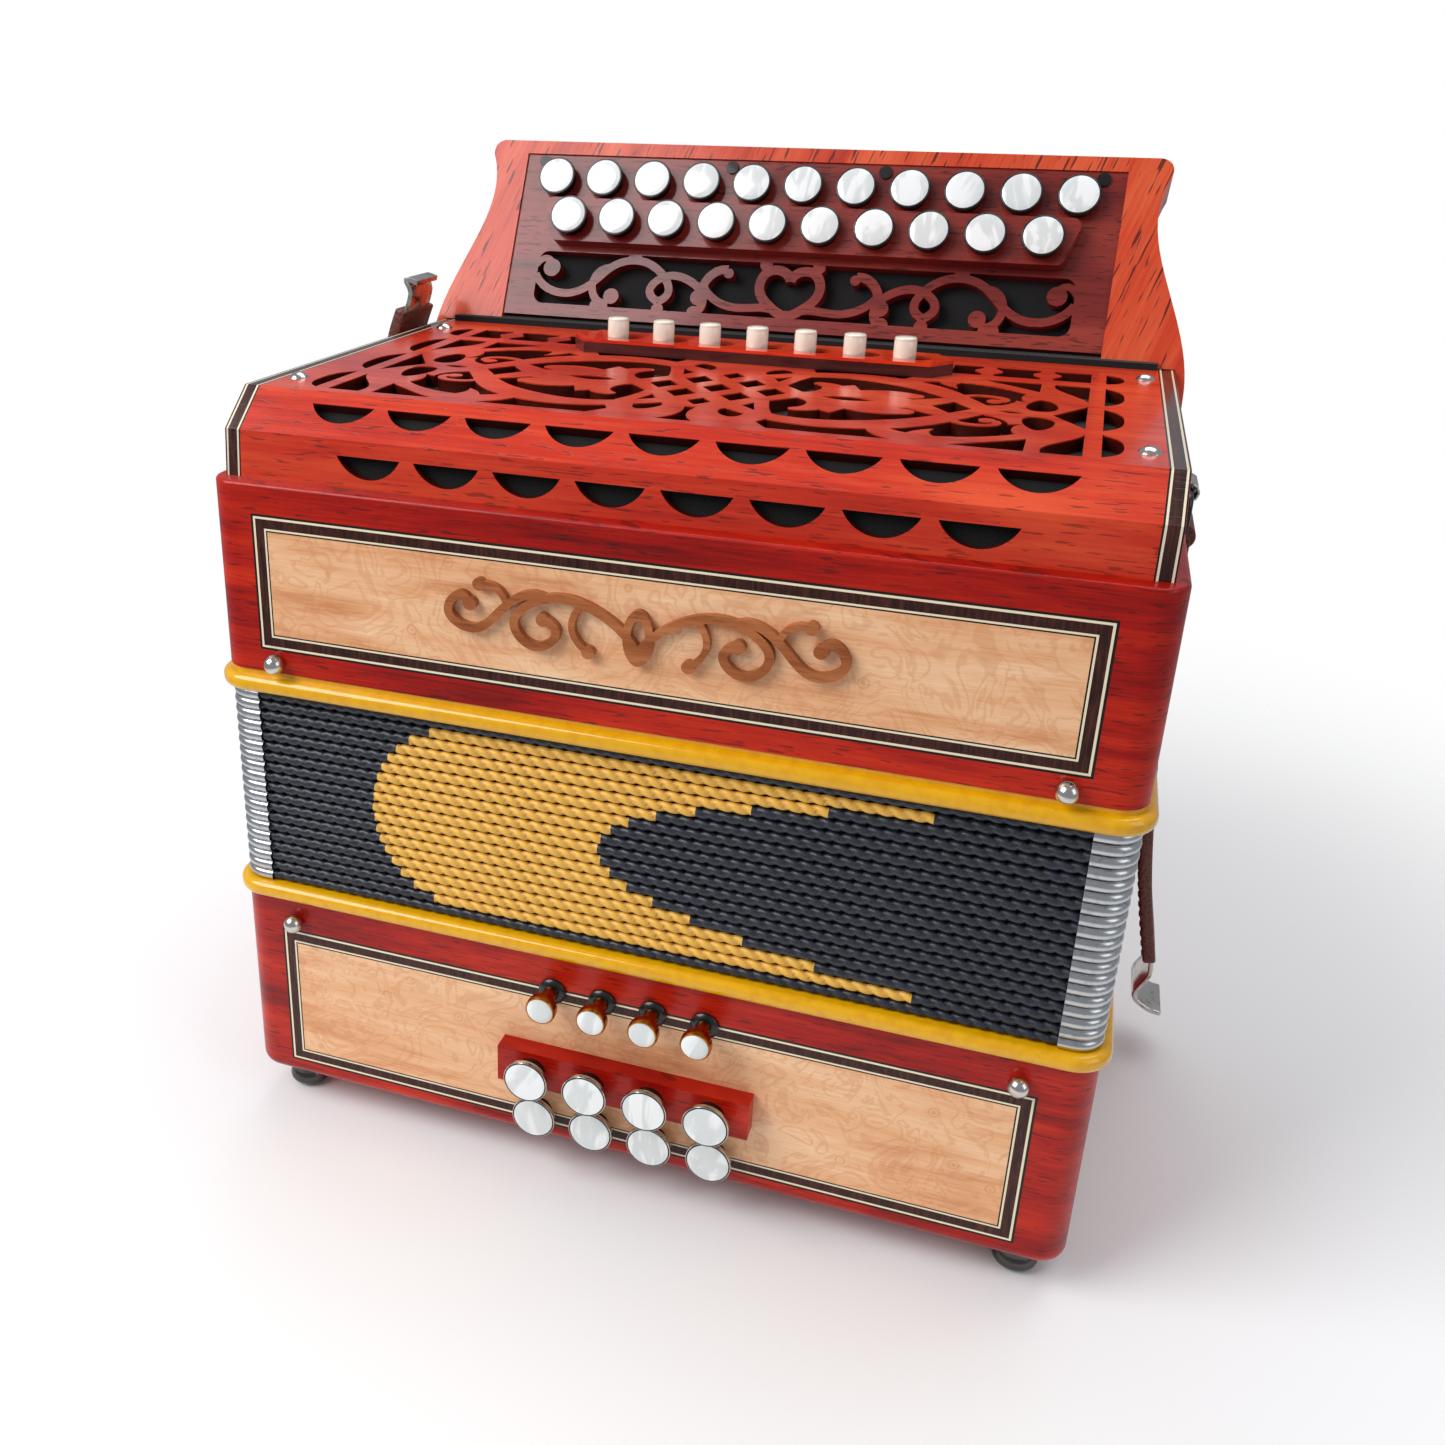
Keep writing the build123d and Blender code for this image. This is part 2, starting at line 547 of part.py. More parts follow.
def grille_cutters():
    """A cutter for every opening of the fretwork, laid out from the middle of the grille."""
    half_x, half_y = GRILLE_HALF_X, GRILLE_HALF_Y
    diamond = make_face(Polyline((66.4, 0), (72.6, 8.8), (78.8, 0), (72.6, -8.8), close=True))
    eye = outline([(85.7, 0), (89.9, 1.9), (94.1, 0)], [(94.1, 0), (89.9, -1.9), (85.7, 0)])
    wedge = make_face(Polyline((101.5, 0), (half_x, 17), (half_x, -15.5), close=True))
    quarter = [
        scroll_opening(),
        outline([(97, 3.9), (93.9, 15), (98.2, 22.6), (102.3, 15), (97, 3.9)]),
        outline([(half_x, half_y), (100.5, half_y)], [(100.5, half_y), (101, 42), (105.5, 34), (half_x, 23)],
                [(half_x, 23), (half_x, half_y)]),
        outline([(75.7, half_y), (96.1, half_y)], [(96.1, half_y), (96.1, 34.5)],
                [(96.1, 34.5), (87, 42), (75.7, half_y)]),
        outline([(26.8, half_y), (22.2, 43)], [(22.2, 43), (24.3, 38.4)], [(24.3, 38.4), (37.3, 41.8), (53, 39.4)],
                [(53, 39.4), (56, 45), (61.5, half_y)], [(61.5, half_y), (26.8, half_y)]),
        outline([(10, 28.4), (9.5, 35.5), (13, 39.5), (17, 33.6)], [(17, 33.6), (10, 28.4)]),
        make_face(Polyline((16, 17.4), (13.3, 22.8), (18.6, 28), close=True)),
    ]
    slot_x = (half_x + 4.7, half_x + 10.4)
    ends = []
    for low, high in ((-49, -21), (-16, 15.5), (20, half_y), (57.3, 74.5)):
        mid, radius = (low + high) / 2, slot_x[1] - slot_x[0]
        bow = [(slot_x[0], low), (slot_x[1] - 1, mid - (high - low) * 0.28), (slot_x[1], mid),
               (slot_x[1] - 1, mid + (high - low) * 0.28), (slot_x[0], high)]
        ends.append(outline(bow, [(slot_x[0], high), (slot_x[0], low)]))
    side = [ring_opening(), diamond, eye, wedge, *ends]
    bars = [Pos(x, 66) * outline([(-3, 9), (-2.2, 5), (-4.6, 0), (-2.2, -5), (-2.6, -9)], [(-2.6, -9), (2.6, -9)],
                                 [(2.6, -9), (2.2, -5), (4.6, 0), (2.2, 5), (3, 9)], [(3, 9), (-3, 9)])
            for x in (78, 97)]
    row = Pos(88.5, 65.9) * Rectangle(2 * (half_x - 88.5), 17.2)
    for bar in bars:
        row -= bar
    throat = [outline([(-5.5, -half_y), (-1.6, -42), (-2, -30.5)], [(-2, -30.5), (2, -30.5)],
                      [(2, -30.5), (1.6, -42), (5.5, -half_y)], [(5.5, -half_y), (-5.5, -half_y)])]
    plane = Plane(origin=(0, GRILLE_MID, COVER_TOP - COVER_THICK - 1))
    def cut(shapes):
        return [raised(plane, shape, COVER_THICK + 2) for shape in shapes]
    middle = Plane(origin=(0, GRILLE_MID, 0), z_dir=(0, 1, 0))
    return both_sides(cut([*side, row]) + both_sides(cut(quarter), middle)) + cut(lattice() + throat)


def grille_cover():
    """Cover in three pieces: the bent front and top with its openings, and two end boards."""
    half = COVER_HALF - COVER_THICK
    skin = cover_layer(0, COVER_THICK, half)
    skin -= grille_cutters()
    skin -= half_moons(face_plane(0, 1, 9.6), 8) + half_moons(face_plane(1, 2, 12.3), 9)
    skin -= [slot_cut(x, ROD_RADIUS + ROD_PLAY, COVER_TOP - COVER_THICK - 1, COVER_TOP + 1) for x in PEG_XS]
    screws = [rod_z(side * COVER_SCREWS[0], y, SCREW_RADIUS + SCREW_PLAY, COVER_TOP - COVER_THICK, COVER_TOP)
              for side in (-1, 1) for y in COVER_SCREWS[1]]
    ends = [side_profile([*cover_line(), (COVER_FRONT + COVER_DEPTH, TOP)], x, x + COVER_THICK)
            for x in (-COVER_HALF, half)]
    return [skin - screws, *ends]


def cloths():
    """Black cloth behind every opening, and the felt strip behind the cover."""
    def lying(x0, x1, y0, y1):
        z = COVER_TOP - COVER_THICK
        return box(x0, x1, GRILLE_MID + y0, GRILLE_MID + y1, z - CLOTH, z)
    edge = GRILLE_HALF_X + 10.4 + CLOTH_MARGIN
    flat = [lying(-edge, edge, -GRILLE_HALF_Y - 1, BAR_FRONT - GRILLE_MID - 6)]
    flat += [lying(x0, x1, BAR_FRONT - GRILLE_MID - 6, 76) for x0, x1 in
             ((-edge, -BAR_HALF + 5), (BAR_HALF - 5, edge))]
    bent = cover_layer(COVER_THICK, COVER_THICK + CLOTH, edge) & box(
        -edge, edge, 0, cover_line(COVER_THICK)[2][0] - 0.5, TOP + 1, COVER_TOP)
    fret = plate_box(-FRET[0] - CLOTH_MARGIN, FRET[0] + CLOTH_MARGIN, FRET[1] - CLOTH_MARGIN, FRET[2] + CLOTH_MARGIN,
                     -PLATE_THICK - CLOTH, -PLATE_THICK)
    back = PLATE_Y + 2.7
    rear = COVER_FRONT + COVER_DEPTH
    felt = box(-FELT_HALF, FELT_HALF, rear - FELT_FRONT, back, COVER_TOP, COVER_TOP + FELT_HEIGHT)
    felt -= plate_box(-2 * SIDE, 2 * SIDE, -30, 30, -12, CHEEK_PROUD + 0.05) - plate_box(
        -PLATE_HALF, PLATE_HALF, -40, 40, -13, CHEEK_PROUD + 1)
    felt -= plate_box(-PLATE_HALF, PLATE_HALF, 0, 30, -PLATE_THICK, 0)
    return [*flat, bent, fret, felt]


# ---------------------------------------------------------------- registers
def slot_cut(x, radius, z0, z1):
    """A slot that lets an upright bar of the given radius travel along X."""
    y = BAR_FRONT + PEG_BACK
    length = REGISTER_TRAVEL + 2 * radius
    face = Pos(x + REGISTER_TRAVEL / 2, y, z0) * SlotOverall(length, 2 * radius)
    return extrude(face, amount=z1 - z0)


def register_bar():
    """Dark bar with a bright veneer, slotted for the seven pegs."""
    c, half, back = BAR_CHAMFER, BAR_HALF, BAR_FRONT + BAR_DEPTH
    mid = BAR_FRONT + BAR_DEPTH * 0.45
    points = [(-half + c, BAR_FRONT), (half - c, BAR_FRONT), (half, mid), (half - c, back), (-half + c, back),
              (-half, mid)]
    def layer(z0, z1):
        body = extrude(Pos(0, 0, z0) * make_face(Polyline(*points, close=True)), amount=z1 - z0)
        return body - [slot_cut(x, PEG_RADIUS + ROD_PLAY, z0, z1) for x in PEG_XS]
    top = COVER_TOP + BAR_THICK
    return [layer(COVER_TOP, top - BAR_VENEER), layer(top - BAR_VENEER, top)]


def register(x):
    """A pearl peg on a rod that is held by a foot under the cover."""
    y = BAR_FRONT + PEG_BACK
    foot_top = COVER_TOP - COVER_THICK - 0.2
    peg_low = COVER_TOP + BAR_THICK - PEG_SUNK
    peg = rod_z(x, y, PEG_RADIUS, peg_low, peg_low + PEG_HEIGHT)
    peg = fillet(peg.edges().group_by(Axis.Z)[-1], 0.6)
    rod = rod_z(x, y, ROD_RADIUS, foot_top, peg_low)
    foot = box(x - 4.2, x + 4.2, y - 4.2, y + 4.2, foot_top - 1.3, foot_top)
    return [peg, rod, foot]


# ---------------------------------------------------------------- keyboard
FRET = (101.5, 5.0, 26.0)           # half length, lower and upper edge of the fretwork window


def cheek_outline():
    """Outline of the keyboard on the plane of its plate."""
    top = PLATE_LENGTH + RAIL
    right = [[(0, top), (CHEEK_SHOULDER - 4, top)],
             [(CHEEK_SHOULDER - 4, top), (CHEEK_SHOULDER - 0.6, top - 2), (CHEEK_SHOULDER, top - 6)],
             [(CHEEK_SHOULDER, top - 6), (CHEEK_WAIST, top - 20), (CHEEK_WAIST + 6, PLATE_LENGTH * 0.4),
              (SIDE - 3, 5.5), (SIDE, -13)],
             [(SIDE, -13), (SIDE, -60)], [(SIDE, -60), (0, -60)]]
    left = [[(-x, y) for x, y in run] for run in right]
    return outline(*right, *left)


def above_casing():
    """The space where the keyboard may stand: over the casing and behind the cover."""
    room = box(-2 * SIDE, 2 * SIDE, 0, 2 * CASE_DEPTH, TOP, TOP + 200)
    rear = COVER_FRONT + COVER_DEPTH + 0.5
    return room - box(-COVER_HALF - 0.3, COVER_HALF + 0.3, 0, rear, TOP, COVER_TOP + 0.3)


def keyboard_frame():
    """Cheeks, top rail, back panel and the board under the felt, glued up as one."""
    blank = extrude(plate_plane(0, 0, -KEYBOARD_DEEP) * cheek_outline(), amount=KEYBOARD_DEEP + CHEEK_PROUD)
    room = plate_box(-PLATE_HALF, PLATE_HALF, -80, PLATE_LENGTH, -KEYBOARD_DEEP + BACK_THICK, CHEEK_PROUD + 1)
    frame = (blank - room) & above_casing()
    rear = COVER_FRONT + COVER_DEPTH + 0.5
    shelf = box(-PLATE_HALF, PLATE_HALF, rear, PLATE_Y + 2.7, COVER_TOP - 6.5, COVER_TOP)
    frame = frame + shelf
    axle_hole = rod_x(AXLE_Y, TOP + AXLE_Z, AXLE_RADIUS, -PLATE_HALF - 6, PLATE_HALF + 6)
    return frame - axle_hole


def fretwork():
    """Scrolls that cross the window of the keyboard plate."""
    heart = band([(0, 5.4), (7, 9.6), (11.4, 16), (9, 22.4), (3.6, 23), (0, 19.2)], 3.6)
    stem = band([(0, 5.2), (9, 8.6), (20, 8.0), (29, 11.2), (33.5, 16)], 3.0)
    hook = band([(35.5, 4.6), (32.6, 9.5), (33.2, 15), (30.2, 20.4), (24.5, 22.4)], 3.4)
    vine = band([(33.4, 13), (40, 17.8), (49, 18.2), (54, 13.5), (50.4, 8.4)], 3.1)
    loop = band([(50.4, 8.4), (46.6, 12.4), (51, 20), (61, 24.0), (70, 21.6), (78, 14), (86, 9.8), (95, 10.6),
                 (102, 16.5)], 3.1)
    fall = band([(72, 20.5), (77.6, 15), (76, 8.5), (70.4, 6.6)], 3.0)
    curl = band([(102.4, 20), (98.5, 23), (95.2, 21)], 2.6)
    pads = [dot(34.6, 11, 3), dot(69.4, 9.4, 3.1), dot(95.6, 19.4, 3.5), dot(24, 21, 1.9), dot(35.6, 5, 2.6),
            dot(75, 5.2, 2.6), dot(50, 5.4, 2.4), dot(62, 25.4, 2.6), dot(10, 25, 2.4)]
    return joined([heart, stem, hook, vine, loop, fall, curl, dot(0, 5, 3.0), *pads])


def keyboard_plate():
    """Plate with key holes and fretwork, and the raised block under the inner row."""
    plate = plate_box(-PLATE_HALF, PLATE_HALF, 0, PLATE_LENGTH, -PLATE_THICK, 0)
    half, low, high = FRET
    window = Pos(0, (low + high) / 2) * RectangleRounded(2 * half, high - low, 4.0)
    window = (window & Pos(half / 2, (low + high) / 2) * Rectangle(half, high - low)) - fretwork()
    plate -= both_sides([raised(plate_plane(0, 0, -PLATE_THICK - 1), window, PLATE_THICK + 2)])
    holes = [plate_rod(x, a, KEY_HOLE, -PLATE_THICK - 1, BLOCK_THICK + 1)
             for xs, a in ((OUTER_XS, OUTER_ROW), (INNER_XS, INNER_ROW)) for x in xs]
    xs, along = PLATE_SCREWS
    screws = [plate_rod(x, along, SCREW_RADIUS + SCREW_PLAY, -PLATE_THICK, 0) for x in xs]
    top, bottom = BLOCK_HALF, BLOCK_HALF - BLOCK_SLANT
    block = make_face(Polyline((-top, BLOCK_HIGH), (top, BLOCK_HIGH), (bottom, BLOCK_LOW), (-bottom, BLOCK_LOW),
                               close=True))
    block = fillet(block.vertices(), 3.0)
    block = extrude(plate_plane(0, 0) * block, amount=BLOCK_THICK)
    return [plate - holes - screws, block - holes]


def key(x, along, rise, pallet):
    """A treble key: pearl disc, stem, upright arm, hub on the axle, pallet arm and pallet."""
    axle_a = (AXLE_Y - PLATE_Y) * ALONG[0] + (AXLE_Z - PLATE_Z) * ALONG[1]
    axle_h = (AXLE_Y - PLATE_Y) * OUT[0] + (AXLE_Z - PLATE_Z) * OUT[1]
    half = LEVER_THICK / 2
    hub = rod_x(AXLE_Y, TOP + AXLE_Z, HUB_RADIUS, x - half, x + half)
    bore = rod_x(AXLE_Y, TOP + AXLE_Z, AXLE_RADIUS + AXLE_PLAY, x - half, x + half)
    arm_low = axle_h - LEVER_DEEP / 2
    arm_top = arm_low + LEVER_DEEP
    arm = plate_box(x - half, x + half, axle_a, along + STEM_RADIUS, arm_low, arm_top) - hub
    disc = plate_rod(x, along, DISC_RADIUS, rise - DISC_THICK, rise)
    disc = fillet(disc.edges().filter_by(GeomType.CIRCLE), 0.4)
    stem = plate_rod(x, along, STEM_RADIUS, arm_top, rise - DISC_THICK)
    width, front, back = pallet
    felt_low = TOP + PALLET_GAP
    wood_low = felt_low + PALLET_FELT
    wood_top = wood_low + PALLET_WOOD
    lever = box(x - half, x + half, front + 4, AXLE_Y, wood_top, wood_top + LEVER_DEEP) - hub
    wood = box(x - width / 2, x + width / 2, front, back, wood_low, wood_top)
    felt = box(x - width / 2, x + width / 2, front, back, felt_low, wood_low)
    return [disc, stem, arm, hub - bore, lever, wood, felt]


# ---------------------------------------------------------------- bellows
def bellows_frame(z0, up, pin_z):
    """Gilt strip, wooden frame and the tongue that nests in the casing."""
    z1 = z0 + STRIP_HEIGHT
    strip_in = STRIP_WIDTH - STRIP_PROUD
    strip = slab(-STRIP_PROUD, z0, z1)
    strip = fillet(strip.edges().group_by(Axis.Z)[0] + strip.edges().group_by(Axis.Z)[-1], STRIP_HEIGHT * 0.42)
    strip -= slab(strip_in, z0, z1)
    frame = ring_slab(strip_in, FRAME_WIDTH, z0, z1)
    t0, t1 = (z1, z1 + TONGUE_HEIGHT) if up else (z0 - TONGUE_HEIGHT, z0)
    setback = CASE_WALL + 0.3
    tongue = ring_slab(setback, setback + TONGUE_WIDTH, t0, t1) - pin_holes(pin_z)
    return [strip, frame, tongue]


def treble_bellows_frame():
    gasket = ring_slab(0.4, CASE_WALL, GASKET_Z, TREBLE_Z)
    return [*bellows_frame(FOLDS_TOP, True, TREBLE_PIN_Z), gasket]


def bellows():
    """The closed pleats, one ring for each fold."""
    folds = []
    for i in range(FOLDS):
        z = FOLDS_Z + i * FOLD_PITCH
        fold = slab(FOLD_INSET, z, z + FOLD_PITCH)
        fold = fillet(fold.edges().group_by(Axis.Z)[0] + fold.edges().group_by(Axis.Z)[-1], FOLD_ROUND)
        folds.append(fold - slab(FOLD_INSET + FOLD_DEPTH, z, z + FOLD_PITCH))
    return folds


# ---------------------------------------------------------------- bass works
def bass_key(x, z, reach):
    """A bass button: pearl disc, stem through the casing, and a collar inside."""
    disc = rod_y(x, z, BASS_DISC, -reach, -reach + DISC_THICK)
    disc = fillet(disc.edges().filter_by(GeomType.CIRCLE), 0.4)
    stem = rod_y(x, z, BASS_STEM, -reach + DISC_THICK, CASE_WALL + BASS_TRAVEL + 3.8)
    low = CASE_WALL + 0.2
    collar = rod_y(x, z, COLLAR_RADIUS, low, low + COLLAR_THICK)
    collar -= rod_y(x, z, BASS_STEM, low, low + COLLAR_THICK)
    return [disc, stem, collar]


def stop_knob(x):
    """A stop: pearl disc in a gilt head, dark collar, and a slide through the casing."""
    low = -STOP_REACH
    pearl = rod_y(x, STOP_Z, STOP_HEAD - 0.7, low, low + 1.0)
    head = rod_y(x, STOP_Z, STOP_HEAD, low + 1.0, low + 3.4)
    collar = rod_y(x, STOP_Z, STOP_HEAD - 1.2, low + 3.4, low + 5.6)
    shaft = rod_y(x, STOP_Z, STOP_SHAFT, low + 5.6, CASE_WALL + STOP_TRAVEL + 2)
    keep = CASE_WALL + 0.2
    washer = rod_y(x, STOP_Z, STOP_SHAFT + 2, keep, keep + 1.5)
    washer -= rod_y(x, STOP_Z, STOP_SHAFT, keep, keep + 1.5)
    return [pearl, head, collar, shaft, washer]


def stop_room():
    """Notch in the bellows frame's tongue, clear of the stops."""
    half = STOP_XS[-1] + STOP_SHAFT + 4
    return box(-half, half, CASE_WALL, CASE_WALL + 2 * TONGUE_WIDTH, BASS_TOP - 2 * TONGUE_HEIGHT,
               STOP_Z + STOP_SHAFT + 3)


def air_button():
    """The air button at the back, with the valve it opens."""
    shaft_r = AIR_RADIUS - 2
    outer, inner = CASE_DEPTH + AIR_REACH, CASE_DEPTH - CASE_WALL
    cap = rod_y(AIR_X, AIR_Z, AIR_RADIUS, outer - 2.5, outer)
    cap = fillet(cap.edges().group_by(Axis.Y)[-1], 1.0)
    shaft = rod_y(AIR_X, AIR_Z, shaft_r, inner - AIR_TRAVEL - 2.5, outer - 2.5)
    washer = rod_y(AIR_X, AIR_Z, AIR_RADIUS, inner - 2.2, inner - 0.2) - shaft
    return [cap, shaft, washer]


# ---------------------------------------------------------------- fittings
def screw(z_axis_place):
    """A domed screw, its head resting on the local plane."""
    radius, height = SCREW_HEAD
    dome_r = (radius ** 2 + height ** 2) / (2 * height)
    dome = Pos(0, 0, height - dome_r) * Sphere(dome_r) & Pos(0, 0, height / 2) * Cylinder(radius + 1, height)
    shank = Pos(0, 0, -SCREW_LENGTH / 2) * Cylinder(SCREW_RADIUS, SCREW_LENGTH)
    return z_axis_place * (dome + shank)


def treble_fasteners():
    pieces = [pin(*place) for place in pin_places(TREBLE_PIN_Z)]
    pieces += [screw(Pos(side * COVER_SCREWS[0], y, COVER_TOP)) for side in (-1, 1) for y in COVER_SCREWS[1]]
    xs, along = PLATE_SCREWS
    for x in xs:
        dome = plate_plane(x, along) * Pos(0, 0, 0.4) * Cylinder(2.4, 0.8)
        pieces.append(dome + plate_rod(x, along, SCREW_RADIUS, -PLATE_THICK, 0))
    return pieces


def foot_places():
    depths = (FOOT_INSET, CASE_DEPTH - FOOT_INSET)
    return [(x, y) for x in (-SIDE + FOOT_INSET, SIDE - FOOT_INSET) for y in depths]


def foot(x, y):
    """A turned foot: flange, waist and rounded tread."""
    r, h = FOOT_RADIUS, FOOT_HEIGHT
    profile = outline([(0, 0), (r * 0.62, 0)], [(r * 0.62, 0), (r * 0.98, h * 0.2), (r * 0.86, h * 0.5)],
                      [(r * 0.86, h * 0.5), (r * 0.74, h * 0.72)], [(r * 0.74, h * 0.72), (r, h)], [(r, h), (0, h)],
                      [(0, h), (0, 0)])
    return Pos(x, y, 0) * revolve(Plane.XZ * profile, Axis.Z)


def bass_feet_and_pins():
    return [foot(*place) for place in foot_places()] + [pin(*place) for place in pin_places(BASS_PIN_Z)]


def hand_strap():
    """Leather strap across the base, bowed for the hand, with a plate and two screws at each end."""
    half, width, thick = HAND_STRAP
    mid_y = CASE_DEPTH / 2
    top = BASS_Z
    drop = 5.4
    flat, bow = half - 14, half * 0.45
    upper = [[(half, top), (flat, top)], [(flat, top), (bow, top - drop), (-bow, top - drop), (-flat, top)],
             [(-flat, top), (-half, top)]]
    lower = [[(x, z - thick) for x, z in run[::-1]] for run in upper[::-1]]
    face = outline(*upper, [(-half, top), (-half, top - thick)], *lower, [(half, top - thick), (half, top)])
    strap = raised(Plane((0, mid_y + width / 2, 0), z_dir=(0, -1, 0), x_dir=(1, 0, 0)), face, width)
    pieces = [strap]
    for side in (-1, 1):
        x = side * (half - 7)
        pieces.append(box(x - 6, x + 6, mid_y - width / 2 - 2, mid_y + width / 2 + 2,
                          top - thick - 1.2, top - thick))
    return pieces


def strap_fitting(side):
    """Bracket and ring on one side of the treble casing."""
    thick, width, height = BRACKET
    z = TOP - RING_BELOW
    y = STRAP_Y
    x0, x1 = (SIDE, SIDE + thick) if side > 0 else (-SIDE - thick, -SIDE)
    plate = box(x0, x1, y - width / 2, y + width / 2, z - height / 2, z + height / 2)
    ring_x = side * RING_X
    loop = rod_y(ring_x, z, LOOP_RADIUS, y - 8, y + 8) + box(
        min(ring_x, x0), max(ring_x, x1), y - 8, y + 8, z - 1.5, z + 1.5)
    loop = (loop - box(min(x0, x1), max(x0, x1), y - 9, y + 9, z - 9, z + 9)
            - rod_y(ring_x, z, RING_BAR + 0.3, y - 8, y + 8))
    return plate, loop, ring_x, z


def ring(ring_x, z_upper, drop):
    """A rectangular wire ring hanging from, or standing on, its bar in the bracket."""
    z_low, z_high = min(z_upper, z_upper + drop), max(z_upper, z_upper + drop)
    r = RING_BAR
    height = z_high - z_low
    face = RectangleRounded(RING_WIDTH, height + 2 * r, 3 * r) - RectangleRounded(
        RING_WIDTH - 4 * r, height - 2 * r, r)
    body = extrude(Plane.YZ.offset(ring_x - r) * Pos(STRAP_Y, (z_low + z_high) / 2) * face, amount=2 * r)
    return fillet(body.edges(), r * 0.8)


def tab(path, ring_x, ring_z):
    """A leather tab sewn round the ring's bar."""
    eye = RING_BAR + 0.3
    face = trace(Spline(*path), line_width=TAB_SIDE) + dot(ring_x, ring_z, eye + EYE_WALL)
    face -= dot(ring_x, ring_z, eye)
    width = STRAP_WIDTH
    return extrude(Plane.XZ.offset(-STRAP_Y - width / 2) * face, amount=width)


def clip(path, width):
    """A bent spring clip at the end of a tab."""
    face = trace(Polyline(*path), line_width=CLIP_THICK)
    return extrude(Plane.XZ.offset(-STRAP_Y - width / 2) * face, amount=width)


def strap_tabs():
    """Both brackets with their rings: the right tab hangs, the left one leans on the cover."""
    pieces = []
    plate, loop, x, z = strap_fitting(1)
    low = z - RING_DROP
    hang = [(x, low - 3), (x + 1.5, TOP - 90), (x + 8, TOP - 150), (x + 16, TOP - 190)]
    right_clip = [(x + 16.6, TOP - 190.4), (x + 17.4, TOP - 197), (x + 13, TOP - 208),
                  (STRAP_REACH - CLIP_THICK / 2, TOP - 214)]
    pieces += [plate, loop, ring(x, z, -RING_DROP), tab(hang, x, low), clip(right_clip, STRAP_WIDTH - 6)]
    plate, loop, x, z = strap_fitting(-1)
    high = z + RING_DROP
    lean = [(x, high + 3), (x + 0.2, TOP + 14), (x + 5.5, COVER_TOP + 7)]
    left_clip = [(x + 5.9, COVER_TOP + 7.4), (x + 8, COVER_TOP + 13), (x + 6, COVER_TOP + 19),
                 (x + 11, COVER_TOP + 17)]
    pieces += [plate, loop, ring(x, z, RING_DROP), tab(lean, x, high), clip(left_clip, STRAP_WIDTH - 8)]
    return pieces


# ---------------------------------------------------------------- build
def main():
    os.makedirs("parts", exist_ok=True)
    bass_mid = BASS_TOP - BASS_INLAY_MID
    save("treble_casing", treble_casing())
    save("treble_inlay", *inlay(TOP - TREBLE_INLAY_MID, TREBLE_INLAY_HALF), ornament())
    save("treble_soundboard", *treble_soundboard())
    save("treble_reed_blocks", *treble_reeds())
    save("grille_cover", *grille_cover())
    save("cloths_and_felt", *cloths())
    save("register_bar", *register_bar())
    save("keyboard_frame", keyboard_frame())
    save("keyboard_plate", *keyboard_plate())
    save("treble_bellows_frame", *treble_bellows_frame())
    save("treble_fasteners", *treble_fasteners())
    save("strap_tabs", *strap_tabs())
    save("bass_casing", bass_casing(), bass_bar())
    save("bass_inlay", *(piece - bass_holes(STEM_PLAY) for piece in inlay(bass_mid, BASS_INLAY_HALF)))
    save("bass_reed_unit", *bass_reeds())
    save("bass_bellows_frame", *(piece - stop_room() for piece in bellows_frame(BASS_TOP, False, BASS_PIN_Z)))
    save("bass_feet_and_pins", *bass_feet_and_pins())
    save("hand_strap", *hand_strap())
    save("bellows", *bellows())
    save("air_button", *air_button())
    for i, x in enumerate(OUTER_XS, 1):
        save(f"key_outer_{i:02d}", *key(x, OUTER_ROW, BUTTON_RISE, OUTER_PALLET))
    for i, x in enumerate(INNER_XS, 1):
        save(f"key_inner_{i:02d}", *key(x, INNER_ROW, BLOCK_THICK + BUTTON_RISE, INNER_PALLET))
    for i, x in enumerate(PEG_XS, 1):
        save(f"register_{i}", *register(x))
    for i, x in enumerate(STOP_XS, 1):
        save(f"stop_knob_{i}", *stop_knob(x))
    for i, place in enumerate(bass_key_places(), 1):
        save(f"bass_key_{i:02d}", *bass_key(*place))


main()
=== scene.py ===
import logging
import math
from dataclasses import dataclass, field
from enum import Enum
from typing import Protocol, Sequence, Union

import bpy
from mathutils import Matrix, Vector


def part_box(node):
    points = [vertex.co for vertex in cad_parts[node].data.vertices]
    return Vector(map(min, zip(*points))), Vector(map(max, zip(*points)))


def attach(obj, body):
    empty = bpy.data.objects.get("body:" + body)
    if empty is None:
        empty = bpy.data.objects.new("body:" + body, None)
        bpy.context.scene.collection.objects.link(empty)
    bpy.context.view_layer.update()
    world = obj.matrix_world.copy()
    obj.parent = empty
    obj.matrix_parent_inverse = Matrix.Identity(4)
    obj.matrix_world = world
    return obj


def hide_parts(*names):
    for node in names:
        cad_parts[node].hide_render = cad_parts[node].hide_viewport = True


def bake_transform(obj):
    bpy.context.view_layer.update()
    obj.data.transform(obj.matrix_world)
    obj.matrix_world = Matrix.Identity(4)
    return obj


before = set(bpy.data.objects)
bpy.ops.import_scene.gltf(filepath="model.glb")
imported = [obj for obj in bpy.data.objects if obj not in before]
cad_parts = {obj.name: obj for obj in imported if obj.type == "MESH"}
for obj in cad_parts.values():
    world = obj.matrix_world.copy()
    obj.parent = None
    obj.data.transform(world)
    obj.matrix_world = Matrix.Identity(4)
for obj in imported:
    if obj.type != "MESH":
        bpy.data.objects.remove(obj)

log = logging.getLogger("accordion")
MM = 0.001
MM_PER_METRE = 1000.0
Colour = tuple[float, float, float, float]
Point = tuple[float, float, float]
Profile = Sequence[tuple[float, float]]
Socket = bpy.types.NodeSocket
Value = Union[Socket, float, Colour, Point]
TREBLE, BASS = "treble_end", "bass_end"


